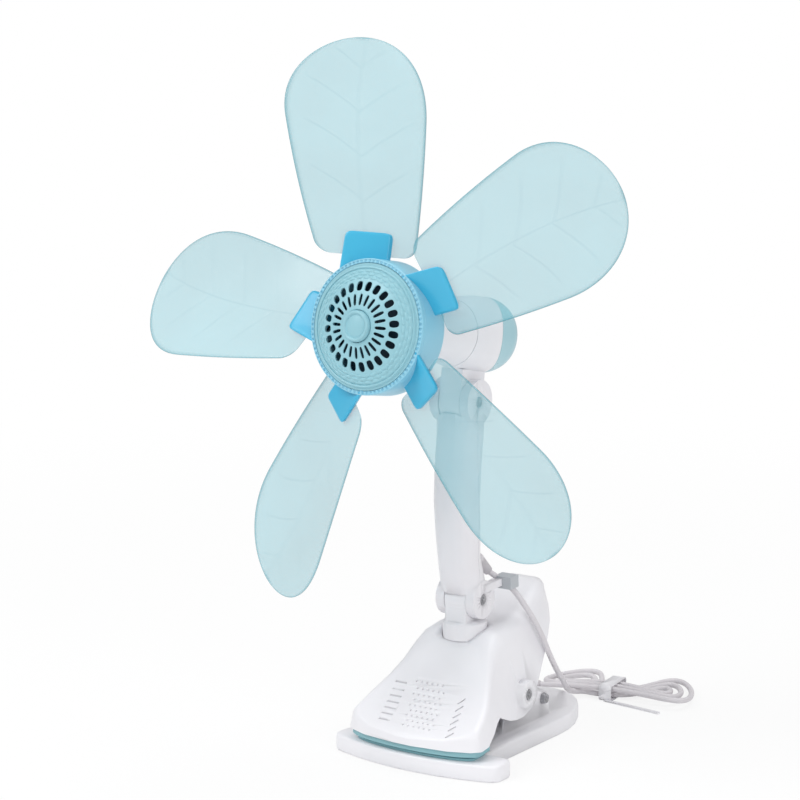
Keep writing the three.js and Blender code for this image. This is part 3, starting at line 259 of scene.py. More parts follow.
def whole_turn(sides):
    """Angles of the corners of a regular polygon."""
    return np.arange(sides) * (2 * math.pi / sides)


def revolve(profile, sides):
    """Grid of a closed or open profile of (radius, y) pairs carried round the Y axis."""
    r, y = np.array(profile, float).T
    return polar(r[:, None], y[:, None], whole_turn(sides))


def turned(profile, sides=96):
    """Closed solid of revolution about the Y axis from a closed profile of (radius, y) pairs."""
    return Shape().grid(revolve(profile, sides), wrap_rows=True)


def bar_round(axis, radius, a, b, u, v, sides, edge=0.0):
    """Round bar along X or Z from a to b through (u, v) of the other two axes; edge rounds its rims."""
    steps = np.array([0, 0.5, 1.0]) * (math.pi / 2)
    start = [(radius - edge + edge * math.sin(s), a + edge - edge * math.cos(s)) for s in steps]
    finish = [(radius - edge + edge * math.cos(s), b - edge + edge * math.sin(s)) for s in steps]
    g = revolve(start + finish if edge else [(radius, a), (radius, b)], sides)
    if axis == "x":
        g = np.stack([g[..., 1], g[..., 0] + u, g[..., 2] + v], -1)
    else:
        g = np.stack([g[..., 0] + u, g[..., 2] + v, g[..., 1]], -1)
    return Shape().grid(g, capped=True)


def block(x0, x1, y0, y1, z0, z1):
    """Box between two corners."""
    ring = [(x0, y0), (x1, y0), (x1, y1), (x0, y1)]
    g = np.array([[(x, y, z) for x, y in ring] for z in (z0, z1)], float)
    return Shape().grid(g, capped=True)


def tube(path, radius, sides):
    """Round bar along a path, flat at both ends: a circle carried along it without twist, by turning
    the side vector into each point's cross plane."""
    path = np.asarray(path, float)
    tangent = np.gradient(path, axis=0)
    tangent /= np.linalg.norm(tangent, axis=1, keepdims=True)
    side = np.zeros_like(path)
    now = np.array([0, 0, 1.0]) if abs(tangent[0, 2]) < 0.9 else np.array([1.0, 0, 0])
    for i, t in enumerate(tangent):
        now = now - t * (now @ t)
        now = now / np.linalg.norm(now)
        side[i] = now
    other = np.cross(tangent, side)
    a = (np.arange(sides) + 0.5) * (2 * math.pi / sides)
    ring = side[:, None] * np.sin(a)[None, :, None] + other[:, None] * np.cos(a)[None, :, None]
    return Shape().grid(path[:, None] + radius * ring, capped=True)


def centripetal(points, count):
    """Centripetal Catmull-Rom curve through points, sampled at equal steps of length."""
    p = np.concatenate([[2 * points[0] - points[1]], points, [2 * points[-1] - points[-2]]])
    out = []
    t = np.linspace(0, 1, 40, endpoint=False)[:, None]
    for i in range(len(points) - 1):
        p0, p1, p2, p3 = p[i:i + 4]
        d0, d1, d2 = (np.linalg.norm(b - a) ** 0.5 for a, b in ((p0, p1), (p1, p2), (p2, p3)))
        m1 = ((p1 - p0) / d0 - (p2 - p0) / (d0 + d1) + (p2 - p1) / d1) * d1
        m2 = ((p2 - p1) / d1 - (p3 - p1) / (d1 + d2) + (p3 - p2) / d2) * d1
        cubic, square = 2 * p1 - 2 * p2 + m1 + m2, -3 * p1 + 3 * p2 - 2 * m1 - m2
        out.append(cubic * t**3 + square * t**2 + m1 * t + p1)
    line = np.concatenate(out + [points[-1:]])
    along = np.concatenate([[0], np.cumsum(np.linalg.norm(np.diff(line, axis=0), axis=1))])
    at = np.linspace(0, along[-1], count)
    return np.stack([np.interp(at, along, line[:, k]) for k in range(3)], -1)


# ---------- materials ----------
def linear(*rgb):
    """Linear colour of an sRGB colour given as three numbers from 0 to 255."""
    c = np.array(rgb, float) / 255
    return tuple(np.where(c <= 0.04045, c / 12.92, ((c + 0.055) / 1.055) ** 2.4)) + (1.0,)


def node_material(name, colour, roughness, metallic=0.0):
    """Empty procedural material: its tree, its shader and its Object coordinates."""
    mat = bpy.data.materials.new(name)
    mat.use_nodes = True
    tree = mat.node_tree
    shader = tree.nodes["Principled BSDF"]
    shader.inputs["Base Color"].default_value = colour
    shader.inputs["Roughness"].default_value = roughness
    shader.inputs["Metallic"].default_value = metallic
    where = tree.nodes.new("ShaderNodeTexCoord").outputs["Object"]
    return mat, tree, shader, where


def noise(tree, where, scale, detail=2.0, rough=0.5):
    """Noise of 0..1 with so many periods to the metre."""
    node = tree.nodes.new("ShaderNodeTexNoise")
    node.inputs["Scale"].default_value = scale
    node.inputs["Detail"].default_value = detail
    node.inputs["Roughness"].default_value = rough
    tree.links.new(where, node.inputs["Vector"])
    return node.outputs["Fac"]


NOISE_LOW, NOISE_HIGH = 0.35, 0.65  # most of a noise lies between these


def ramp_colour(tree, value, low, high):
    """Colour that goes from low to high over the usual span of a noise."""
    node = tree.nodes.new("ShaderNodeValToRGB")
    node.color_ramp.elements[0].position = NOISE_LOW
    node.color_ramp.elements[0].color = low
    node.color_ramp.elements[1].position = NOISE_HIGH
    node.color_ramp.elements[1].color = high
    tree.links.new(value, node.inputs["Fac"])
    return node.outputs["Color"]


def spread(tree, value, low, high):
    """Maps a 0..1 value to low..high."""
    node = tree.nodes.new("ShaderNodeMapRange")
    node.inputs["To Min"].default_value = low
    node.inputs["To Max"].default_value = high
    tree.links.new(value, node.inputs["Value"])
    return node.outputs["Result"]


def bump(tree, shader, height, strength, distance):
    """Relief of a value, in metres of height, on a shader's normal."""
    node = tree.nodes.new("ShaderNodeBump")
    node.inputs["Strength"].default_value = strength
    node.inputs["Distance"].default_value = distance
    tree.links.new(height, node.inputs["Height"])
    tree.links.new(node.outputs["Normal"], shader.inputs["Normal"])


def shade(colour, factor):
    """The colour made lighter or darker."""
    return tuple(min(1.0, c * factor) for c in colour[:3]) + (1.0,)


GRAIN_HEIGHT = 0.0001
MOTTLE, MOTTLE_SCALE = 0.03, 16.0
GLOSS_SCALE = 60.0
PLASTIC_IOR, CLEAR_IOR = 1.5, 1.46


def moulded(name, colour, roughness, grain=900.0, relief=0.12, coat=0.0):
    """Moulded plastic: slow colour mottling, a fine spark-eroded grain as bump, and uneven gloss."""
    mat, tree, shader, where = node_material(name, colour, roughness)
    slow = noise(tree, where, MOTTLE_SCALE, 3.0)
    tree.links.new(ramp_colour(tree, slow, shade(colour, 1 - MOTTLE), shade(colour, 1 + MOTTLE)),
                   shader.inputs["Base Color"])
    tree.links.new(spread(tree, noise(tree, where, GLOSS_SCALE, 3.0), roughness - 0.06, roughness + 0.08),
                   shader.inputs["Roughness"])
    bump(tree, shader, noise(tree, where, grain, 2.0), relief, GRAIN_HEIGHT)
    shader.inputs["Coat Weight"].default_value = coat
    shader.inputs["IOR"].default_value = PLASTIC_IOR
    return mat


SCRATCH_STRETCH = (6.0, 1.0, 1.0)
TARNISH_SCALE, TARNISH_DARK, TARNISH_LIGHT = 120.0, 0.82, 1.08


def metal(name, colour, roughness, scratch=300.0):
    """Plated or bare metal: fine drawn scratches in the gloss and a faint tarnish."""
    mat, tree, shader, where = node_material(name, colour, roughness, 1.0)
    stretch = tree.nodes.new("ShaderNodeMapping")
    stretch.inputs["Scale"].default_value = SCRATCH_STRETCH
    tree.links.new(where, stretch.inputs["Vector"])
    lines = noise(tree, stretch.outputs["Vector"], scratch, 4.0, 0.7)
    gloss = spread(tree, lines, roughness - 0.12, roughness + 0.15)
    tree.links.new(gloss, shader.inputs["Roughness"])
    tarnish = noise(tree, where, TARNISH_SCALE, 3.0)
    tree.links.new(ramp_colour(tree, tarnish, shade(colour, TARNISH_DARK), shade(colour, TARNISH_LIGHT)),
                   shader.inputs["Base Color"])
    bump(tree, shader, lines, 0.08, GRAIN_HEIGHT)
    return mat


BLADE_ALPHA, RIM_ALPHA, VEIN_ALPHA = 0.345, 0.3, 0.03  # opacity, and how much more at rim and veins
RIM_DEEP, VEIN_DEEP = 0.8, 0.12  # share of the deep colour at rim and veins
MIDRIB_HALF, VEIN_HALF = 0.7, 0.035  # half widths, in millimetres and in shares of the veins' pitch


def clear_blade():
    """Tinted clear plastic: see-through in the middle, deeper coloured along the cut edge, with faint leaf
    veins drawn where the attributes vein_across, vein_phase and vein_reach say."""
    body = (0.24, 0.57, 0.65, 1)
    deep = (0.05, 0.27, 0.34, 1)
    mat, tree, shader, where = node_material("blade clear blue", body, 0.16)
    link = tree.links.new

    def attribute(name):
        """A value painted on the mesh."""
        node = tree.nodes.new("ShaderNodeAttribute")
        node.attribute_name = name
        return node.outputs["Fac"]

    def maths(how, a, b=None):
        """One Math node of sockets or numbers."""
        node = tree.nodes.new("ShaderNodeMath")
        node.operation = how
        for k, v in enumerate((a, b)):
            if v is None:
                continue
            if isinstance(v, (int, float)):
                node.inputs[k].default_value = v
            else:
                link(v, node.inputs[k])
        return node.outputs["Value"]

    def line(value, half):
        """1 on a thin line where value is 0, falling to 0 at `half` on both sides."""
        return maths("MAXIMUM", maths("SUBTRACT", 1.0, maths("DIVIDE", maths("ABSOLUTE", value), half)), 0.0)

    rim = attribute("rim")
    middle = line(attribute("vein_across"), MIDRIB_HALF)
    wave = maths("SUBTRACT", maths("FRACT", attribute("vein_phase")), 0.5)
    sides = maths("MULTIPLY", line(wave, VEIN_HALF), attribute("vein_reach"))
    vein = maths("MAXIMUM", middle, sides)
    haze = noise(tree, where, 14.0, 2.0)
    tint = ramp_colour(tree, haze, shade(body, 0.94), shade(body, 1.06))
    mix = tree.nodes.new("ShaderNodeMix")
    mix.data_type = "RGBA"
    mix.inputs["B"].default_value = deep
    link(tint, mix.inputs["A"])
    link(maths("MAXIMUM", maths("MULTIPLY", rim, RIM_DEEP), maths("MULTIPLY", vein, VEIN_DEEP)),
         mix.inputs["Factor"])
    link(mix.outputs["Result"], shader.inputs["Base Color"])
    more = maths("ADD", maths("MULTIPLY", rim, RIM_ALPHA), maths("MULTIPLY", vein, VEIN_ALPHA))
    link(maths("ADD", BLADE_ALPHA, more), shader.inputs["Alpha"])
    link(spread(tree, noise(tree, where, 40.0, 2.0), 0.13, 0.2), shader.inputs["Roughness"])
    bump(tree, shader, maths("MULTIPLY", vein, -1.0), 0.12, 0.0004)
    shader.inputs["IOR"].default_value = CLEAR_IOR
    return mat


WHITE = moulded("white plastic", linear(236, 235, 239), 0.34)
ARM_WHITE = moulded("white plastic arm", linear(233, 231, 235), 0.38)
BLADE = clear_blade()
CYAN = moulded("cyan tab plastic", linear(62, 178, 216), 0.3, coat=0.15)
HUB = moulded("hub blue plastic", linear(140, 200, 222), 0.36)
GRILLE = moulded("grille blue plastic", linear(146, 196, 208), 0.4, relief=0.2)
TINT = moulded("rear cap plastic", linear(164, 204, 214), 0.28, coat=0.2)
TEAL = moulded("grip pad rubber", linear(136, 182, 190), 0.62, grain=1400.0, relief=0.4)
STEEL = metal("zinc steel", (0.42, 0.42, 0.44, 1), 0.34)
IRON = metal("lamination iron", (0.2, 0.2, 0.22, 1), 0.5)
COPPER = metal("enamelled copper", (0.62, 0.27, 0.12, 1), 0.38, scratch=700.0)
BRONZE = metal("sintered bronze", (0.45, 0.3, 0.13, 1), 0.52)
# near-black blue for the carrier plate inside the hub: painted shade of the closed hub, not the plastic's
# own colour
CARRIER_PAINTED_SHADE = moulded("carrier plastic painted shade", linear(16, 52, 72), 0.5)
FLEX = moulded("flex sheath", linear(214, 210, 214), 0.42, grain=1100.0, relief=0.18)
GREY = moulded("grey rubber", linear(184, 188, 193), 0.6, grain=1300.0, relief=0.3)

# ---------- camera ----------
CAMERA_AT = (0.8327, -1.2767, 0.4750)  # metres
AZIMUTH, ELEVATION = math.radians(35), math.radians(9.3)
LENS, SENSOR = 108, 36
camera = bpy.data.objects.new("camera", bpy.data.cameras.new("camera"))
bpy.context.scene.collection.objects.link(camera)
camera.location = CAMERA_AT
camera.rotation_euler = (math.pi / 2 - ELEVATION, 0, AZIMUTH)
camera.data.lens = LENS
camera.data.sensor_width = SENSOR
camera.data.clip_end = 20
bpy.context.scene.camera = camera


# ---------- the lead ----------
def hank_axis(a):
    """Middle line of the bundle at distance a from the tie, and its direction there."""
    turn = np.radians(HANK_WAY + HANK_SWING * a * np.abs(a) / (a * a + HANK_EASE * HANK_EASE))
    way = np.stack([np.cos(turn), np.sin(turn)], -1)
    return HANK_AT + way * np.asarray(a)[..., None], way


def hank_point(t):
    """Folded bundle: nested loops that narrow at the tie, far strands below and near strands above."""
    t = np.asarray(t, float)
    turns = (t - HANK_FROM) / (2 * math.pi)
    peak = HANK_WAIST ** (HANK_WAIST / 2) / (1 + HANK_WAIST) ** ((1 + HANK_WAIST) / 2)
    s, c = np.sin(t), np.cos(t)
    on, way = hank_axis(-(HANK_HALF + HANK_PITCH * turns) * c)
    loop = (HANK_WIDE + HANK_PITCH * turns) * (np.abs(c) ** HANK_WAIST * s) / peak
    side = np.sign(s) * (turns - 1) * HANK_PITCH * s * s + loop
    away = np.maximum(0, turns - HANK_LOOPS + 0.5) * 2 * math.pi
    out = side - HANK_STRAY * away * away
    up = CORD_R + 0.1 + (TIE_T + GAP) * s * s + (2 * CORD_R + STRAND_GAP) * ((1 - s) / 2)
    return np.stack([on[..., 0] - way[..., 1] * out, on[..., 1] + way[..., 0] * out, up], -1)


def lead_course():
    """The whole lead: from the strain relief over the clip to the table, round the bundle, to the plug."""
    start = hank_point(HANK_FROM)
    way = hank_point(HANK_FROM + 0.2) - start
    way /= np.linalg.norm(way)
    free = centripetal(np.concatenate([CORD_ROUTE, [start - 9 * way]]), 150)
    bundle = hank_point(ramp(HANK_FROM, HANK_TO, 240))
    return np.concatenate([free, bundle])


course = lead_course()
lead = new_object("mains_lead", tube(course, CORD_R, 14), 60)
finished(lead, "base", FLEX, "flex", "power_cord", "cord_hank")
tie = from_node("cord_tie")
finished(tie, "base", WHITE, "white_plastic", "cord_tie")
plug = from_node("plug_body")
finished(plug, "base", FLEX, "flex", "plug_body")
relief = from_node("strain_relief")
finished(relief, "arm", FLEX, "flex", "strain_relief")


# ---------- every other node, in its own finish ----------
FINISHES = {
    "white_plastic": WHITE, "clear_blue_plastic": BLADE, "cyan_plastic": CYAN, "hub_blue": HUB,
    "grille_blue": GRILLE, "tinted_cap": TINT, "teal_rubber": TEAL, "steel": STEEL, "iron": IRON,
    "copper": COPPER, "bronze": BRONZE, "flex": FLEX, "grey_rubber": GREY,
}
for part in frame["record"]["subparts"]:
    node = frame["nodes"][part["node"]]
    for place in node.material_slots:
        place.material = FINISHES[part["material_slot"]]

# ---------- blades: plan and lift use the same formulas as their solids ----------
BLADES = 5
BLADE_T = 2.2
BLADE_PLANE = 19.3  # behind the ring plane
ROOT_Y, TIP_Y = 42.6, 175.5  # radii of the root and of the tip
TIP_START, TIP_SKEW = 125.0, 5.0  # where the rounded tip starts, and how far it leans to one side
BLADE_LEAN = 4.7  # how far the tip leans back
ROOT_HALF, ROOT_CORNER = 27.0, 7.0
TAB_X, TAB_HALF, TAB_T = -10.5, 13.0, 3.6  # root tabs: middle, half width and thickness
TAB_START, TAB_END = 30, 57.0  # radii of a tab's ends
CARRIER_R = 33.0
SLOT_PLAY = 2.4  # how much narrower the blade's neck is than the tab, on each side
RIM_WIDE = 1.3  # band of deeper colour along the blade's edge
VEIN_PITCH, VEIN_START = 27, 62  # side veins: distance between two, and where the first leaves the midrib
VEIN_WAVE = 2.2  # how far the midrib winds from side to side
VEIN_FADE = 6  # over how many millimetres the side veins end


def past_tip_start(y):
    """How far a radius lies into the rounded tip, from 0 to 1."""
    return np.maximum(0, y - TIP_START) / (TIP_Y - TIP_START)


def blade_mid(y):
    """Middle of the blade across, at a radius: a straight lean and, past the tip's start, a square one."""
    return -12.9 - 0.215 * (y - 50) + TIP_SKEW * past_tip_start(y) ** 2


def blade_base(y):
    """Half width without tip and corners: a parabola that widens more slowly outwards."""
    return ROOT_HALF + 0.225 * (y - ROOT_Y) - 0.0006 * (y - ROOT_Y) ** 2


def blade_half(y):
    """Half width: bowed sides, an elliptic tip and rounded root corners."""
    tip = np.sqrt(np.maximum(0, 1 - past_tip_start(y) ** 2))
    near = np.clip((ROOT_Y + ROOT_CORNER - y) / ROOT_CORNER, 0, 1)
    return blade_base(y) * tip - ROOT_CORNER * (1 - np.sqrt(1 - near**2))


def blade_lift(x, y):
    """Height of the blade surface ahead of the blade plane: a pitch that flattens outwards, a shallow hollow
    that deepens past the tab, and a lean back with the square of the distance past the tab."""
    past = np.maximum(0, y - TAB_END)
    pitch = np.radians(25.2 - 6 * (y - 50) / 100)
    u = (x - blade_mid(y)) / blade_base(y)
    hollow = 2.4 + 2.6 * np.minimum(1, past / 60)
    lean_back = BLADE_LEAN * (past / (TIP_Y - TAB_END)) ** 2
    return np.tan(pitch) * (5 - 0.155 * (y - 50) - x) - hollow * (1 - u * u) - lean_back


def blade_outline(inset):
    """Closed plan of the blade, inset from its edge: up one side, round the tip, down the other and back."""
    s = (1 - np.cos(ramp(0, math.pi, 110))) / 2
    y = ROOT_Y + (TIP_Y - ROOT_Y) * s
    half = np.maximum(0, blade_half(y) - inset)
    y_in = ROOT_Y + inset + (TIP_Y - ROOT_Y - 2 * inset) * s
    right = np.stack([blade_mid(y) + half, y_in], -1)
    left = np.stack([blade_mid(y) - half, y_in], -1)[::-1]
    root = ramp(left[-1], right[0], 22)[1:-1]
    return np.concatenate([right, left[1:], root])


def squared(value, power):
    """A sine or cosine drawn out for a squared-off ellipse of that power."""
    return np.sign(value) * np.abs(value) ** (2 / power)


def tab_outline(inset):
    """Closed plan of a root tab: a rounded rectangle, as a squared-off ellipse of high power."""
    a = (np.arange(96) + 0.5) * (2 * math.pi / 96)
    half_y = (TAB_END - TAB_START) / 2
    x = squared(np.cos(a), 9) * (TAB_HALF - inset) + TAB_X
    y = squared(np.sin(a), 9) * (half_y - inset) + TAB_START + half_y
    return np.stack([x, y], -1)


def sheet_part(outline, spine, front, thick, rounding, rings):
    """Thin curved plate of even thickness, as a grid of points in the motor's frame. Rings parallel to its
    outline shrink to a spine on both faces, and a half circle of rings rounds its edge."""
    turn = ramp(0, math.pi / 2, 4)[:-1]
    edge = [(rounding * (1 - math.cos(t)), rounding * math.sin(t)) for t in turn]
    full = outline(rounding)
    middle = spine(full)
    face = [middle + (full - middle) * k for k in ramp(0, 1, rings)]
    plan, depth = [], []
    for p in face:
        plan.append(p)
        depth.append(0.0)
    for inset, rise in edge[::-1]:
        plan.append(outline(inset))
        depth.append(rounding - rise)
    for inset, rise in edge[1:]:
        plan.append(outline(inset))
        depth.append(thick - rounding + rise)
    for p in face[::-1]:
        plan.append(p)
        depth.append(thick)
    x, y = np.moveaxis(np.array(plan), -1, 0)
    return np.stack([x, BLADE_PLANE - blade_lift(x, y) - front + np.array(depth)[:, None], y], -1)


def around(points, k):
    """Carried to the place of the k-th blade."""
    return points @ turn_y(2 * math.pi * k / BLADES).T


def blade_spine(outline):
    """The line on the blade's middle that its rings shrink to."""
    y = np.clip(outline[:, 1], ROOT_Y + 22, TIP_Y - 40)
    return np.stack([blade_mid(y), y], -1)


def paint(obj, name, values):
    """Writes one value per corner of the mesh, for the material."""
    layer = obj.data.attributes.new(name, "FLOAT", "POINT")
    layer.data.foreach_set("value", values.astype(np.float32))


def make_blade(k):
    """One blade with the neck that the tab clamps."""
    shape = Shape().grid(sheet_part(blade_outline, blade_spine, BLADE_T / 2, BLADE_T, 1.0, 26))
    y = np.array([CARRIER_R + 1.0, 38.0, ROOT_Y + 3.5])
    x = TAB_X + ramp(-1, 1, 9) * (TAB_HALF - SLOT_PLAY)
    xx, yy = np.meshgrid(x, y)
    top = np.stack([xx, BLADE_PLANE - blade_lift(xx, yy) - BLADE_T / 2, yy], -1)
    low = top[:, ::-1] + [0, BLADE_T, 0]
    shape.grid(np.concatenate([top, low], 1), capped=True)
    shape.placed(lambda p: on_head(around(p, k)))
    obj = new_object(f"blade_{k + 1}_clear", shape, 50)
    paint_blade(obj, k)
    finished(obj, "rotor", BLADE, "clear_blue_plastic", f"blade_{k + 1}")


def paint_blade(obj, k):
    """Attributes that say how near the edge and the veins each corner of a blade is."""
    local = around(off_head(np.array([v.co for v in obj.data.vertices]) / MM), -k)
    x, y = local[:, 0], local[:, 2]
    across = x - blade_mid(y)
    half = np.maximum(blade_half(np.clip(y, ROOT_Y, TIP_Y)), 0)
    edge = np.minimum(half - np.abs(across), TIP_Y - y)
    paint(obj, "rim", np.clip(1 - edge / RIM_WIDE, 0, 1) * (y > ROOT_Y + 0.5))
    paint(obj, "vein_across", across + VEIN_WAVE * np.sin((y - 50) / 30))
    climb = 0.85 * np.abs(across) - 0.006 * across**2  # side veins run outwards and bend over
    paint(obj, "vein_phase", (y - VEIN_START - climb) / VEIN_PITCH)
    inside = np.clip((half * 0.82 - np.abs(across)) / VEIN_FADE, 0, 1)
    paint(obj, "vein_reach", inside * np.clip((y - VEIN_START - 4) / VEIN_FADE, 0, 1))


for k in range(BLADES):
    make_blade(k)


# ---------- hub: shell, grille, knurled ring, button and tabs ----------
HUB_R, HUB_WALL, HUB_FRONT, HUB_DEPTH = 41.0, 2.4, 3.8, 26.0
DOME_R, DOME_H, FACE_T = 35.0, 9.0, 1.6
BUTTON_R = 9.6
VENTS = 24
SLOT = (12.6, 19.4, 1.8)  # narrow vents: inner radius, outer radius, width
OVAL = (21.4, 27.1, 4.1)  # oval vents
VENT_RINGS = (12.0, 20.4, 28.2)  # radii between the collar, the two rings of vents and the band
VENT_LIP = 0.35  # how far a vent's edge is drawn in
AROUND = 18  # steps of one vent's cell around the axis
UPRIGHT = 8  # steps of one vent's cell along the radius
SIDES = VENTS * AROUND  # steps of the face around the axis


def dome(r):
    """The face bulges forward as a shallow bowl of revolution."""
    return np.where(r < DOME_R, -DOME_H * (1 - (r / DOME_R) ** 2), 0.0)


def vent_cells(r0, r1, hole, turn, power):
    """Cells round the axis, each with a rounded hole: rings run from the hole's outline to the cell's."""
    a = ramp(-1, 1, AROUND + 1)
    b = ramp(-1, 1, UPRIGHT + 1)
    edge = np.concatenate([
        np.stack([a[:-1], -np.ones(AROUND)], -1), np.stack([np.ones(UPRIGHT), b[:-1]], -1),
        np.stack([-a[:-1], np.ones(AROUND)], -1), np.stack([-np.ones(UPRIGHT), -b[:-1]], -1)])
    sector = math.pi / VENTS
    middle = (hole[0] + hole[1]) / 2
    cell_r = (r0 + r1) / 2 + edge[:, 1] * (r1 - r0) / 2
    cell = np.stack([edge[:, 0] * sector * cell_r, cell_r], -1)
    way = np.arctan2(edge[:, 0], edge[:, 1])
    oval = np.stack([squared(np.sin(way), power) * hole[2] / 2,
                     middle + squared(np.cos(way), power) * (hole[1] - hole[0]) / 2], -1)
    mix = np.array([0, 0.12, 0.3, 0.6, 1.0])[:, None, None]
    flat = oval * (1 - mix) + cell * mix
    r = flat[..., 1]
    angle = flat[..., 0] / r
    lip = VENT_LIP * np.array([1, 0.25, 0, 0, 0.0])[:, None]
    turns = turn + np.arange(VENTS)[:, None, None] * 2 * sector
    return polar(r, dome(r) + lip, angle + turns)


def face_band(rs, relief=None):
    """Plain band of the face between radii, with an optional relief of (radius, angle)."""
    a = (np.arange(SIDES) - AROUND / 2) * (2 * math.pi / SIDES)
    r, angle = np.meshgrid(rs, a, indexing="ij")
    return polar(r, dome(r) + (0 if relief is None else relief(r, angle)), angle)


SCALES = 36  # beads in a row
SCALE_ROWS = (29.7, 31.7, 33.7)  # radii
SCALE_HALF = 0.44  # half width of a bead, in shares of the pitch
SCALE_LONG, SCALE_HIGH = 0.95, 0.75  # its half length along the radius, and its height


def scales(r, angle):
    """Three staggered rows of low oval beads: each is the top of an ellipsoid."""
    out = 0 * r
    for row, at in enumerate(SCALE_ROWS):
        u = SCALES * angle / (2 * math.pi) + 0.5 * (row % 2)
        du = (u - np.round(u)) / SCALE_HALF
        dr = (r - at) / SCALE_LONG
        out = np.maximum(out, SCALE_HIGH * np.sqrt(np.maximum(0, 1 - du**2 - dr**2)))
    return -out


# from the dome's edge: a raised lip, a step down, the flat border and its wall
GRILLE_BORDER = [(DOME_R, 0.0), (DOME_R + 0.25, -0.55), (DOME_R + 0.75, -0.75), (DOME_R + 1.2, -0.5),
                 (DOME_R + 1.4, 0.2), (36.8, 0.9), (38.2, 1.0), (38.2, 3.4)]


def grille_face():
    """Domed face: a collar, two rings of vents, the beaded band, and a flat border with a raised lip."""
    collar, between, band = VENT_RINGS
    shape = Shape()
    shape.grid(face_band(ramp(BUTTON_R + 0.3, collar, 4)))
    slots = vent_cells(collar, between, SLOT, 0.0, 3.2)
    ovals = vent_cells(between, band, OVAL, math.pi / VENTS, 2.6)
    for cell in np.concatenate([slots, ovals]):
        shape.grid(cell)
    shape.grid(face_band(ramp(band, DOME_R, 26), scales))
    half_cell = turn_y(-AROUND / 2 * (2 * math.pi / SIDES))
    return shape.grid(revolve(GRILLE_BORDER, SIDES) @ half_cell.T).placed(on_head)


face = new_object("grille_face", grille_face(), 40)
wall = face.modifiers.new("wall", "SOLIDIFY")
wall.thickness = FACE_T * MM
wall.offset = -1
finished(face, "rotor", GRILLE, "grille_blue", "front_grille")

KNURLS, KNURL_STEPS = 84, 10
KNURL_HIGH, KNURL_OUT = 0.75, 0.25  # depth of the grooves, and how far the ribs stand out of the profile
# the ring's profile, with 1 where the ribs are
KNURL_PROFILE = [(38.5, 3.4, 0), (38.5, 1.0, 0), (38.7, 0.8, 0), (38.85, 1.1, 1), (40.2, 1.25, 1),
                 (40.4, 1.0, 0), (40.9, 1.15, 0), (41.1, 1.6, 0), (41.1, 3.5, 0)]


def knurls():
    """Ring of fine radial ribs: its front rises and falls with the angle as a rounded square wave."""
    a = whole_turn(KNURLS * KNURL_STEPS)
    wave = np.clip(2.2 * np.cos(KNURLS * a), -1, 1) * 0.5 + 0.5
    rows = [polar(r, y + KNURL_HIGH * ribs * (1 - wave) - KNURL_OUT * ribs, a)
            for r, y, ribs in KNURL_PROFILE]
    return Shape().grid(np.array(rows), wrap_rows=True).placed(on_head)


finished(new_object("knurled_ring", knurls(), 45), "rotor", HUB, "hub_blue", "knurl_ring")

# a shallow dish with a raised round rim
BUTTON_PROFILE = [(0.01, -10.5), (5.6, -10.35), (6.3, -10.0), (6.9, -9.95), (7.5, -10.9), (8.2, -11.2),
                  (8.9, -10.9), (9.5, -9.6), (9.55, -6.2), (0.01, -6.2)]
button = turned(BUTTON_PROFILE).placed(on_head)
finished(new_object("button", button, 50), "rotor", GRILLE, "grille_blue", "centre_button")

BACK_HOLE_R = 12
# the wall from its front rim, a rounded back edge, and the slightly coned back with its hole
HUB_PROFILE = [(HUB_R - HUB_WALL, HUB_FRONT), (HUB_R - 0.4, HUB_FRONT), (HUB_R, HUB_FRONT + 0.4),
               (HUB_R, HUB_DEPTH - 2.4), (HUB_R - 0.7, HUB_DEPTH - 0.9), (HUB_R - 2.4, HUB_DEPTH),
               (BACK_HOLE_R, HUB_DEPTH + 1), (BACK_HOLE_R, HUB_DEPTH - 1.4),
               (HUB_R - HUB_WALL, HUB_DEPTH - 2.4)]
shell = turned(HUB_PROFILE, 160).placed(on_head)
finished(new_object("hub_wall", shell, 30), "rotor", HUB, "hub_blue", "hub_shell")

SHAFT_HOLE_R, CARRIER_BOSS_R = 3.2, 7.5


def washer(r0, r1, y0, y1, sides):
    """Flat ring, or a tube, round the fan axis."""
    return turned([(r0, y0), (r1, y0), (r1, y1), (r0, y1)], sides)


def tabs():
    """Carrier plate with its boss, and five root tabs clamping the blades."""
    shape = Shape()
    shape.join(washer(SHAFT_HOLE_R, CARRIER_R - 2, 15.4, 18, 72))
    shape.join(washer(SHAFT_HOLE_R, CARRIER_BOSS_R, 8, 27, 48))
    front = BLADE_T / 2 + GAP + TAB_T
    centre = np.array([[TAB_X, (TAB_START + TAB_END) / 2]])
    points = sheet_part(tab_outline, lambda p: np.broadcast_to(centre, p.shape), front, TAB_T, 1.1, 10)
    for k in range(BLADES):
        shape.grid(around(points, k))
    return shape.placed(on_head)


roots = finished(new_object("root_tabs", tabs(), 40), "rotor", CYAN, "cyan_plastic", "blade_carrier")
# faces of the carrier plate within CARRIER_R - 1 of the axis take the near-black blue as painted shade
# inside the hub; the tabs keep their cyan
roots.data.materials.append(CARRIER_PAINTED_SHADE)
for polygon in roots.data.polygons:
    at = off_head(np.array(polygon.center) / MM)
    polygon.material_index = int(math.hypot(at[0], at[2]) < CARRIER_R - 1)


# ---------- motor housing ----------
HOUSING_R, HOUSING_WALL, HOUSING_END = 24.5, 2.4, 140.0
NOSE_START, NOSE_SPLIT, CAP_SPLIT = 33.0, 92.0, 127.0
CAP_SADDLE = 11.0  # how far the parting comes forward at the sides
LUG_W, NECK_R = 15.8, 14.3
housing_r = through([(NOSE_START, 15.5), (50, 16.6), (70, 18.2), (88, 20.6), (104, 23.6), (116, HOUSING_R),
                     (130, HOUSING_R - 0.2), (136, HOUSING_R - 1.6), (HOUSING_END, HOUSING_R - 5.5)])


BARREL_TURN = whole_turn(96)


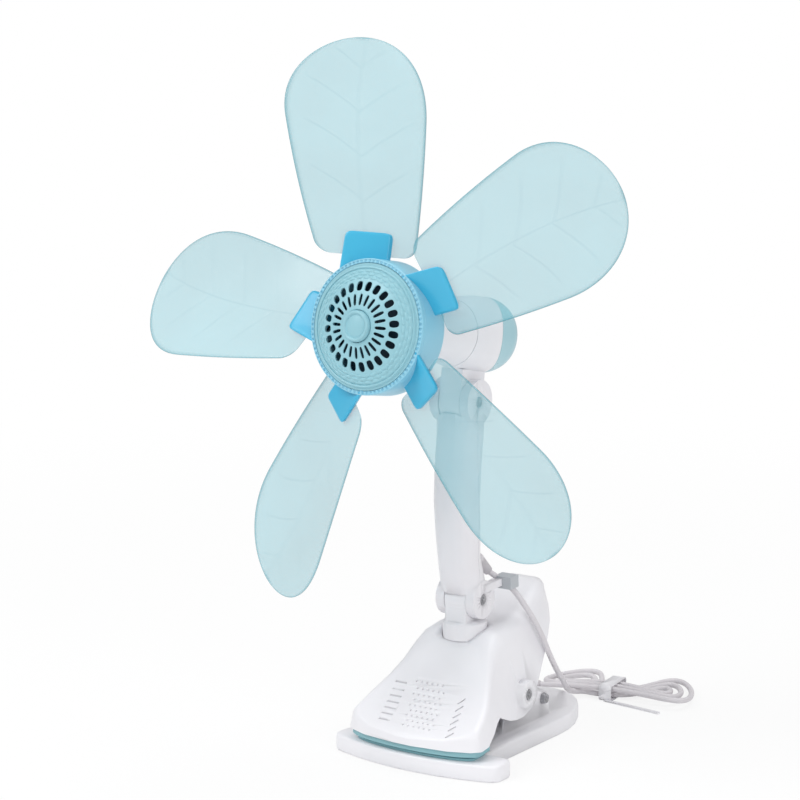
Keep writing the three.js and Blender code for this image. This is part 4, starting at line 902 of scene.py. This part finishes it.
def barrel(y_from, y_to, rows=24):
    """Wall of the housing between two stations, each one number or one for every angle round the axis."""
    y = y_from + (y_to - y_from) * ramp(0, 1, rows)[:, None]
    outer = housing_r(y)
    wall = [polar(outer, y, BARREL_TURN), polar(outer - HOUSING_WALL, y, BARREL_TURN)[::-1]]
    return Shape().grid(np.concatenate(wall), wrap_rows=True)


def parting(shift):
    """The joint of housing and rear cap comes forward at the sides with the square of the distance out."""
    return CAP_SPLIT + shift - CAP_SADDLE * np.sin(BARREL_TURN) ** 2


NOSE_HOLE_R, NOSE_RING_R, NOSE_WALL = 4.5, 15.0, 3
nose = barrel(NOSE_START, NOSE_SPLIT - GAP)
nose.join(washer(NOSE_HOLE_R, NOSE_RING_R, NOSE_START, NOSE_START + NOSE_WALL, 72))
nose_piece = soften(new_object("nose_cone", nose.placed(on_head), 30), 0.35)
finished(nose_piece, "head", WHITE, "white_plastic", "motor_nose_cone")

housing = new_object("housing", barrel(NOSE_SPLIT, parting(-GAP / 2)).placed(on_head), 30)
lug = bar_round("x", NECK_R - 0.3, -LUG_W / 2, LUG_W / 2, PIVOT_AT, -AXIS_UP, 64, 0.6).placed(on_head)
combine(housing, new_object("lug", lug, 30), "UNION", 30)
stem_half = NECK_R - 1.2
stem = block(-LUG_W / 2, LUG_W / 2, PIVOT_AT - stem_half, PIVOT_AT + stem_half, -AXIS_UP, -HOUSING_R + 2.2)
combine(housing, new_object("stem", stem.placed(on_head), 30), "UNION", 30)
finished(housing, "head", WHITE, "white_plastic", "motor_housing")

CAP_DISH, CAP_WALL = 1.2, 1.6  # how far the cap's end bulges, and its thickness at the rim
CAP_SLOTS, CAP_SLOT_PITCH, CAP_SLOT_HALF = 5, 4.4, 0.9


def rear_cap():
    """Dished end of the housing behind the parting, without its slots."""
    first = parting(GAP / 2)
    y = first + (HOUSING_END - first) * ramp(0, 1, 18)[:, None]
    r = housing_r(y)
    end_r = housing_r(HOUSING_END)
    close = [polar(end_r * k, HOUSING_END + CAP_DISH * (1 - k * k), BARREL_TURN)
             for k in (0.97, 0.85, 0.6, 0.3, 0.001)]
    inner_close = [polar((end_r - HOUSING_WALL) * k, HOUSING_END - CAP_WALL, BARREL_TURN)
                   for k in (0.001, 0.5, 1.0)]
    inner = polar(r - HOUSING_WALL, np.minimum(y, HOUSING_END - CAP_WALL - 0.6), BARREL_TURN)[::-1]
    rows = np.concatenate([polar(r, y, BARREL_TURN), close, inner_close, inner])
    return Shape().grid(rows, wrap_rows=True).placed(on_head)


def cap_slots():
    """Five level cooling slots, shorter away from the middle, as blocks to cut with."""
    shape = Shape()
    for i in range(CAP_SLOTS):
        from_middle = i - CAP_SLOTS // 2
        half = 9 - abs(from_middle) * 1.5
        z = from_middle * CAP_SLOT_PITCH
        z0, z1 = z - CAP_SLOT_HALF, z + CAP_SLOT_HALF
        shape.join(block(-half, half, HOUSING_END - 6, HOUSING_END + 6, z0, z1))
    return shape.placed(on_head)


cap = new_object("rear_cap_tinted", rear_cap(), 35)
combine(cap, new_object("slots", cap_slots()), "DIFFERENCE")
finished(cap, "head", TINT, "tinted_cap", "rear_cap")

# ---------- pieces that keep their solids' shape, with merged corners ----------
SMALL = {
    "knee_bolt": ("arm", STEEL, "steel"), "neck_bolt": ("arm", STEEL, "steel"),
    "knee_nut": ("arm", STEEL, "steel"), "neck_nut": ("arm", STEEL, "steel"),
    "pivot_bolt": ("base", STEEL, "steel"), "pivot_nut": ("base", STEEL, "steel"),
    "stop_pin": ("base", STEEL, "steel"), "cord_clip": ("arm", GREY, "grey_rubber"),
    "swivel_turret": ("turret", WHITE, "white_plastic"),
    "arm_front_shell": ("arm", ARM_WHITE, "white_plastic"),
    "arm_rear_shell": ("arm", ARM_WHITE, "white_plastic"),
    "top_jaw": ("lever", WHITE, "white_plastic"), "base_plate": ("base", WHITE, "white_plastic"),
    "upper_grip_pad": ("lever", TEAL, "teal_rubber"), "lower_grip_pad": ("base", TEAL, "teal_rubber"),
}
JAW_FRONT_Y, JAW_LIP_Z = -86.0, 18.0
# height of the lever's sloping bill along the fan, as in its solid
bill_top = through([(JAW_FRONT_Y, JAW_LIP_Z + 4.5), (JAW_FRONT_Y + 12, 29.5), (JAW_FRONT_Y + 24, 36.5),
                    (-52, 43.5), (-43, 52), (-35, 61.5)])
DOT_R, DOT_DEEP = 0.8, 0.9
DOT_ROWS, DOTS, ROW_PITCH, DOT_PITCH = 9, 6, 3.7, 4.0
ROW_SLANT = 1.2  # how far each row of dots starts further left


def dot_field():
    """Small round dimples in the lever's bill: staggered rows that slant with the two columns of slots."""
    shape = Shape()
    for row in range(DOT_ROWS):
        y = JAW_FRONT_Y + 9 + row * ROW_PITCH
        bottom = float(bill_top(y)) - DOT_DEEP
        for k in range(DOTS):
            x = -5 - row * ROW_SLANT + k * DOT_PITCH + (row % 2) * DOT_PITCH / 2
            shape.join(bar_round("z", DOT_R, bottom, bottom + 8, x, y, 10))
    return shape


for node, (body, material, slot) in SMALL.items():
    piece = from_node(node)
    if node == "top_jaw":
        combine(piece, new_object("dots", dot_field()), "DIFFERENCE", 30)
    finished(piece, body, material, slot, node)

# ---------- floor, light and background, in metres ----------
FLOOR_HALF = 4
FADE_NEAR, FADE_FAR = 0.25, 1.3  # where the floor starts to fade into the background, and where it has faded
FLOOR_GLOW = 0.82  # share of plain white in the floor near the fan
AMBIENT = 0.55
corners = [(-1, -1), (1, -1), (1, 1), (-1, 1)]
floor_mesh = bpy.data.meshes.new("floor")
floor_mesh.from_pydata([(x * FLOOR_HALF, y * FLOOR_HALF, 0) for x, y in corners], [], [(0, 1, 2, 3)])
floor = bpy.data.objects.new("floor", floor_mesh)
bpy.context.scene.collection.objects.link(floor)


def seen_directly(tree):
    """1 for rays from the camera and through see-through pieces, 0 for the rays that light the fan."""
    path = tree.nodes.new("ShaderNodeLightPath")
    either = tree.nodes.new("ShaderNodeMath")
    either.operation = "MAXIMUM"
    tree.links.new(path.outputs["Is Camera Ray"], either.inputs[0])
    tree.links.new(path.outputs["Is Transmission Ray"], either.inputs[1])
    return either.outputs["Value"]


def floor_material():
    """Matt white paper that fades into the white background away from the fan: the camera and see-through
    pieces see it mostly as bright white, with the shadow that falls on it near the fan."""
    mat, tree, shader, where = node_material("floor paper", (0.9, 0.9, 0.9, 1), 0.9)
    glow = tree.nodes.new("ShaderNodeEmission")
    far = tree.nodes.new("ShaderNodeVectorMath")
    far.operation = "LENGTH"
    tree.links.new(where, far.inputs[0])
    fade = tree.nodes.new("ShaderNodeMapRange")
    fade.interpolation_type = "SMOOTHSTEP"
    fade.inputs["From Min"].default_value = FADE_NEAR
    fade.inputs["From Max"].default_value = FADE_FAR
    fade.inputs["To Min"].default_value = FLOOR_GLOW
    tree.links.new(far.outputs["Value"], fade.inputs["Value"])
    share = tree.nodes.new("ShaderNodeMath")
    share.operation = "MULTIPLY"
    tree.links.new(seen_directly(tree), share.inputs[0])
    tree.links.new(fade.outputs["Result"], share.inputs[1])
    mixed(tree, share.outputs["Value"], shader.outputs["BSDF"], glow.outputs["Emission"], "Material Output")
    return mat


def mixed(tree, share, first, second, output):
    """Sends a mix of two shaders to the tree's output; share is that of the second."""
    mix = tree.nodes.new("ShaderNodeMixShader")
    tree.links.new(share, mix.inputs["Fac"])
    tree.links.new(first, mix.inputs[1])
    tree.links.new(second, mix.inputs[2])
    tree.links.new(mix.outputs["Shader"], tree.nodes[output].inputs["Surface"])


floor.data.materials.append(floor_material())


def soft_light(name, place, aim, size, power):
    """Round area light that looks from its place at a point."""
    data = bpy.data.lights.new(name, "AREA")
    data.shape = "DISK"
    data.size = size
    data.energy = power
    lamp = bpy.data.objects.new(name, data)
    bpy.context.scene.collection.objects.link(lamp)
    lamp.location = place
    way = np.array(aim) - np.array(place)
    lamp.rotation_euler = Vector(way).to_track_quat("-Z", "Y").to_euler()


for light in [
    # name, place, aim, diameter, watts
    ("key light", (-0.9, -1.6, 1.9), (0, 0, 0.25), 1.4, 26),
    ("fill light", (1.9, -1.0, 0.9), (0, 0, 0.2), 1.6, 12),
    ("top light", (0.2, 0.5, 2.2), (0, 0, 0.2), 1.6, 14),
]:
    soft_light(*light)

world = bpy.data.worlds.new("studio")
bpy.context.scene.world = world
world.use_nodes = True
tree = world.node_tree
lit = tree.nodes["Background"]
lit.inputs["Color"].default_value = (1, 1, 1, 1)
lit.inputs["Strength"].default_value = AMBIENT
seen = tree.nodes.new("ShaderNodeBackground")
seen.inputs["Color"].default_value = (1, 1, 1, 1)
seen.inputs["Strength"].default_value = 1.0
mixed(tree, seen_directly(tree), lit.outputs["Background"], seen.outputs["Background"], "World Output")
bpy.context.scene.view_settings.view_transform = "Standard"
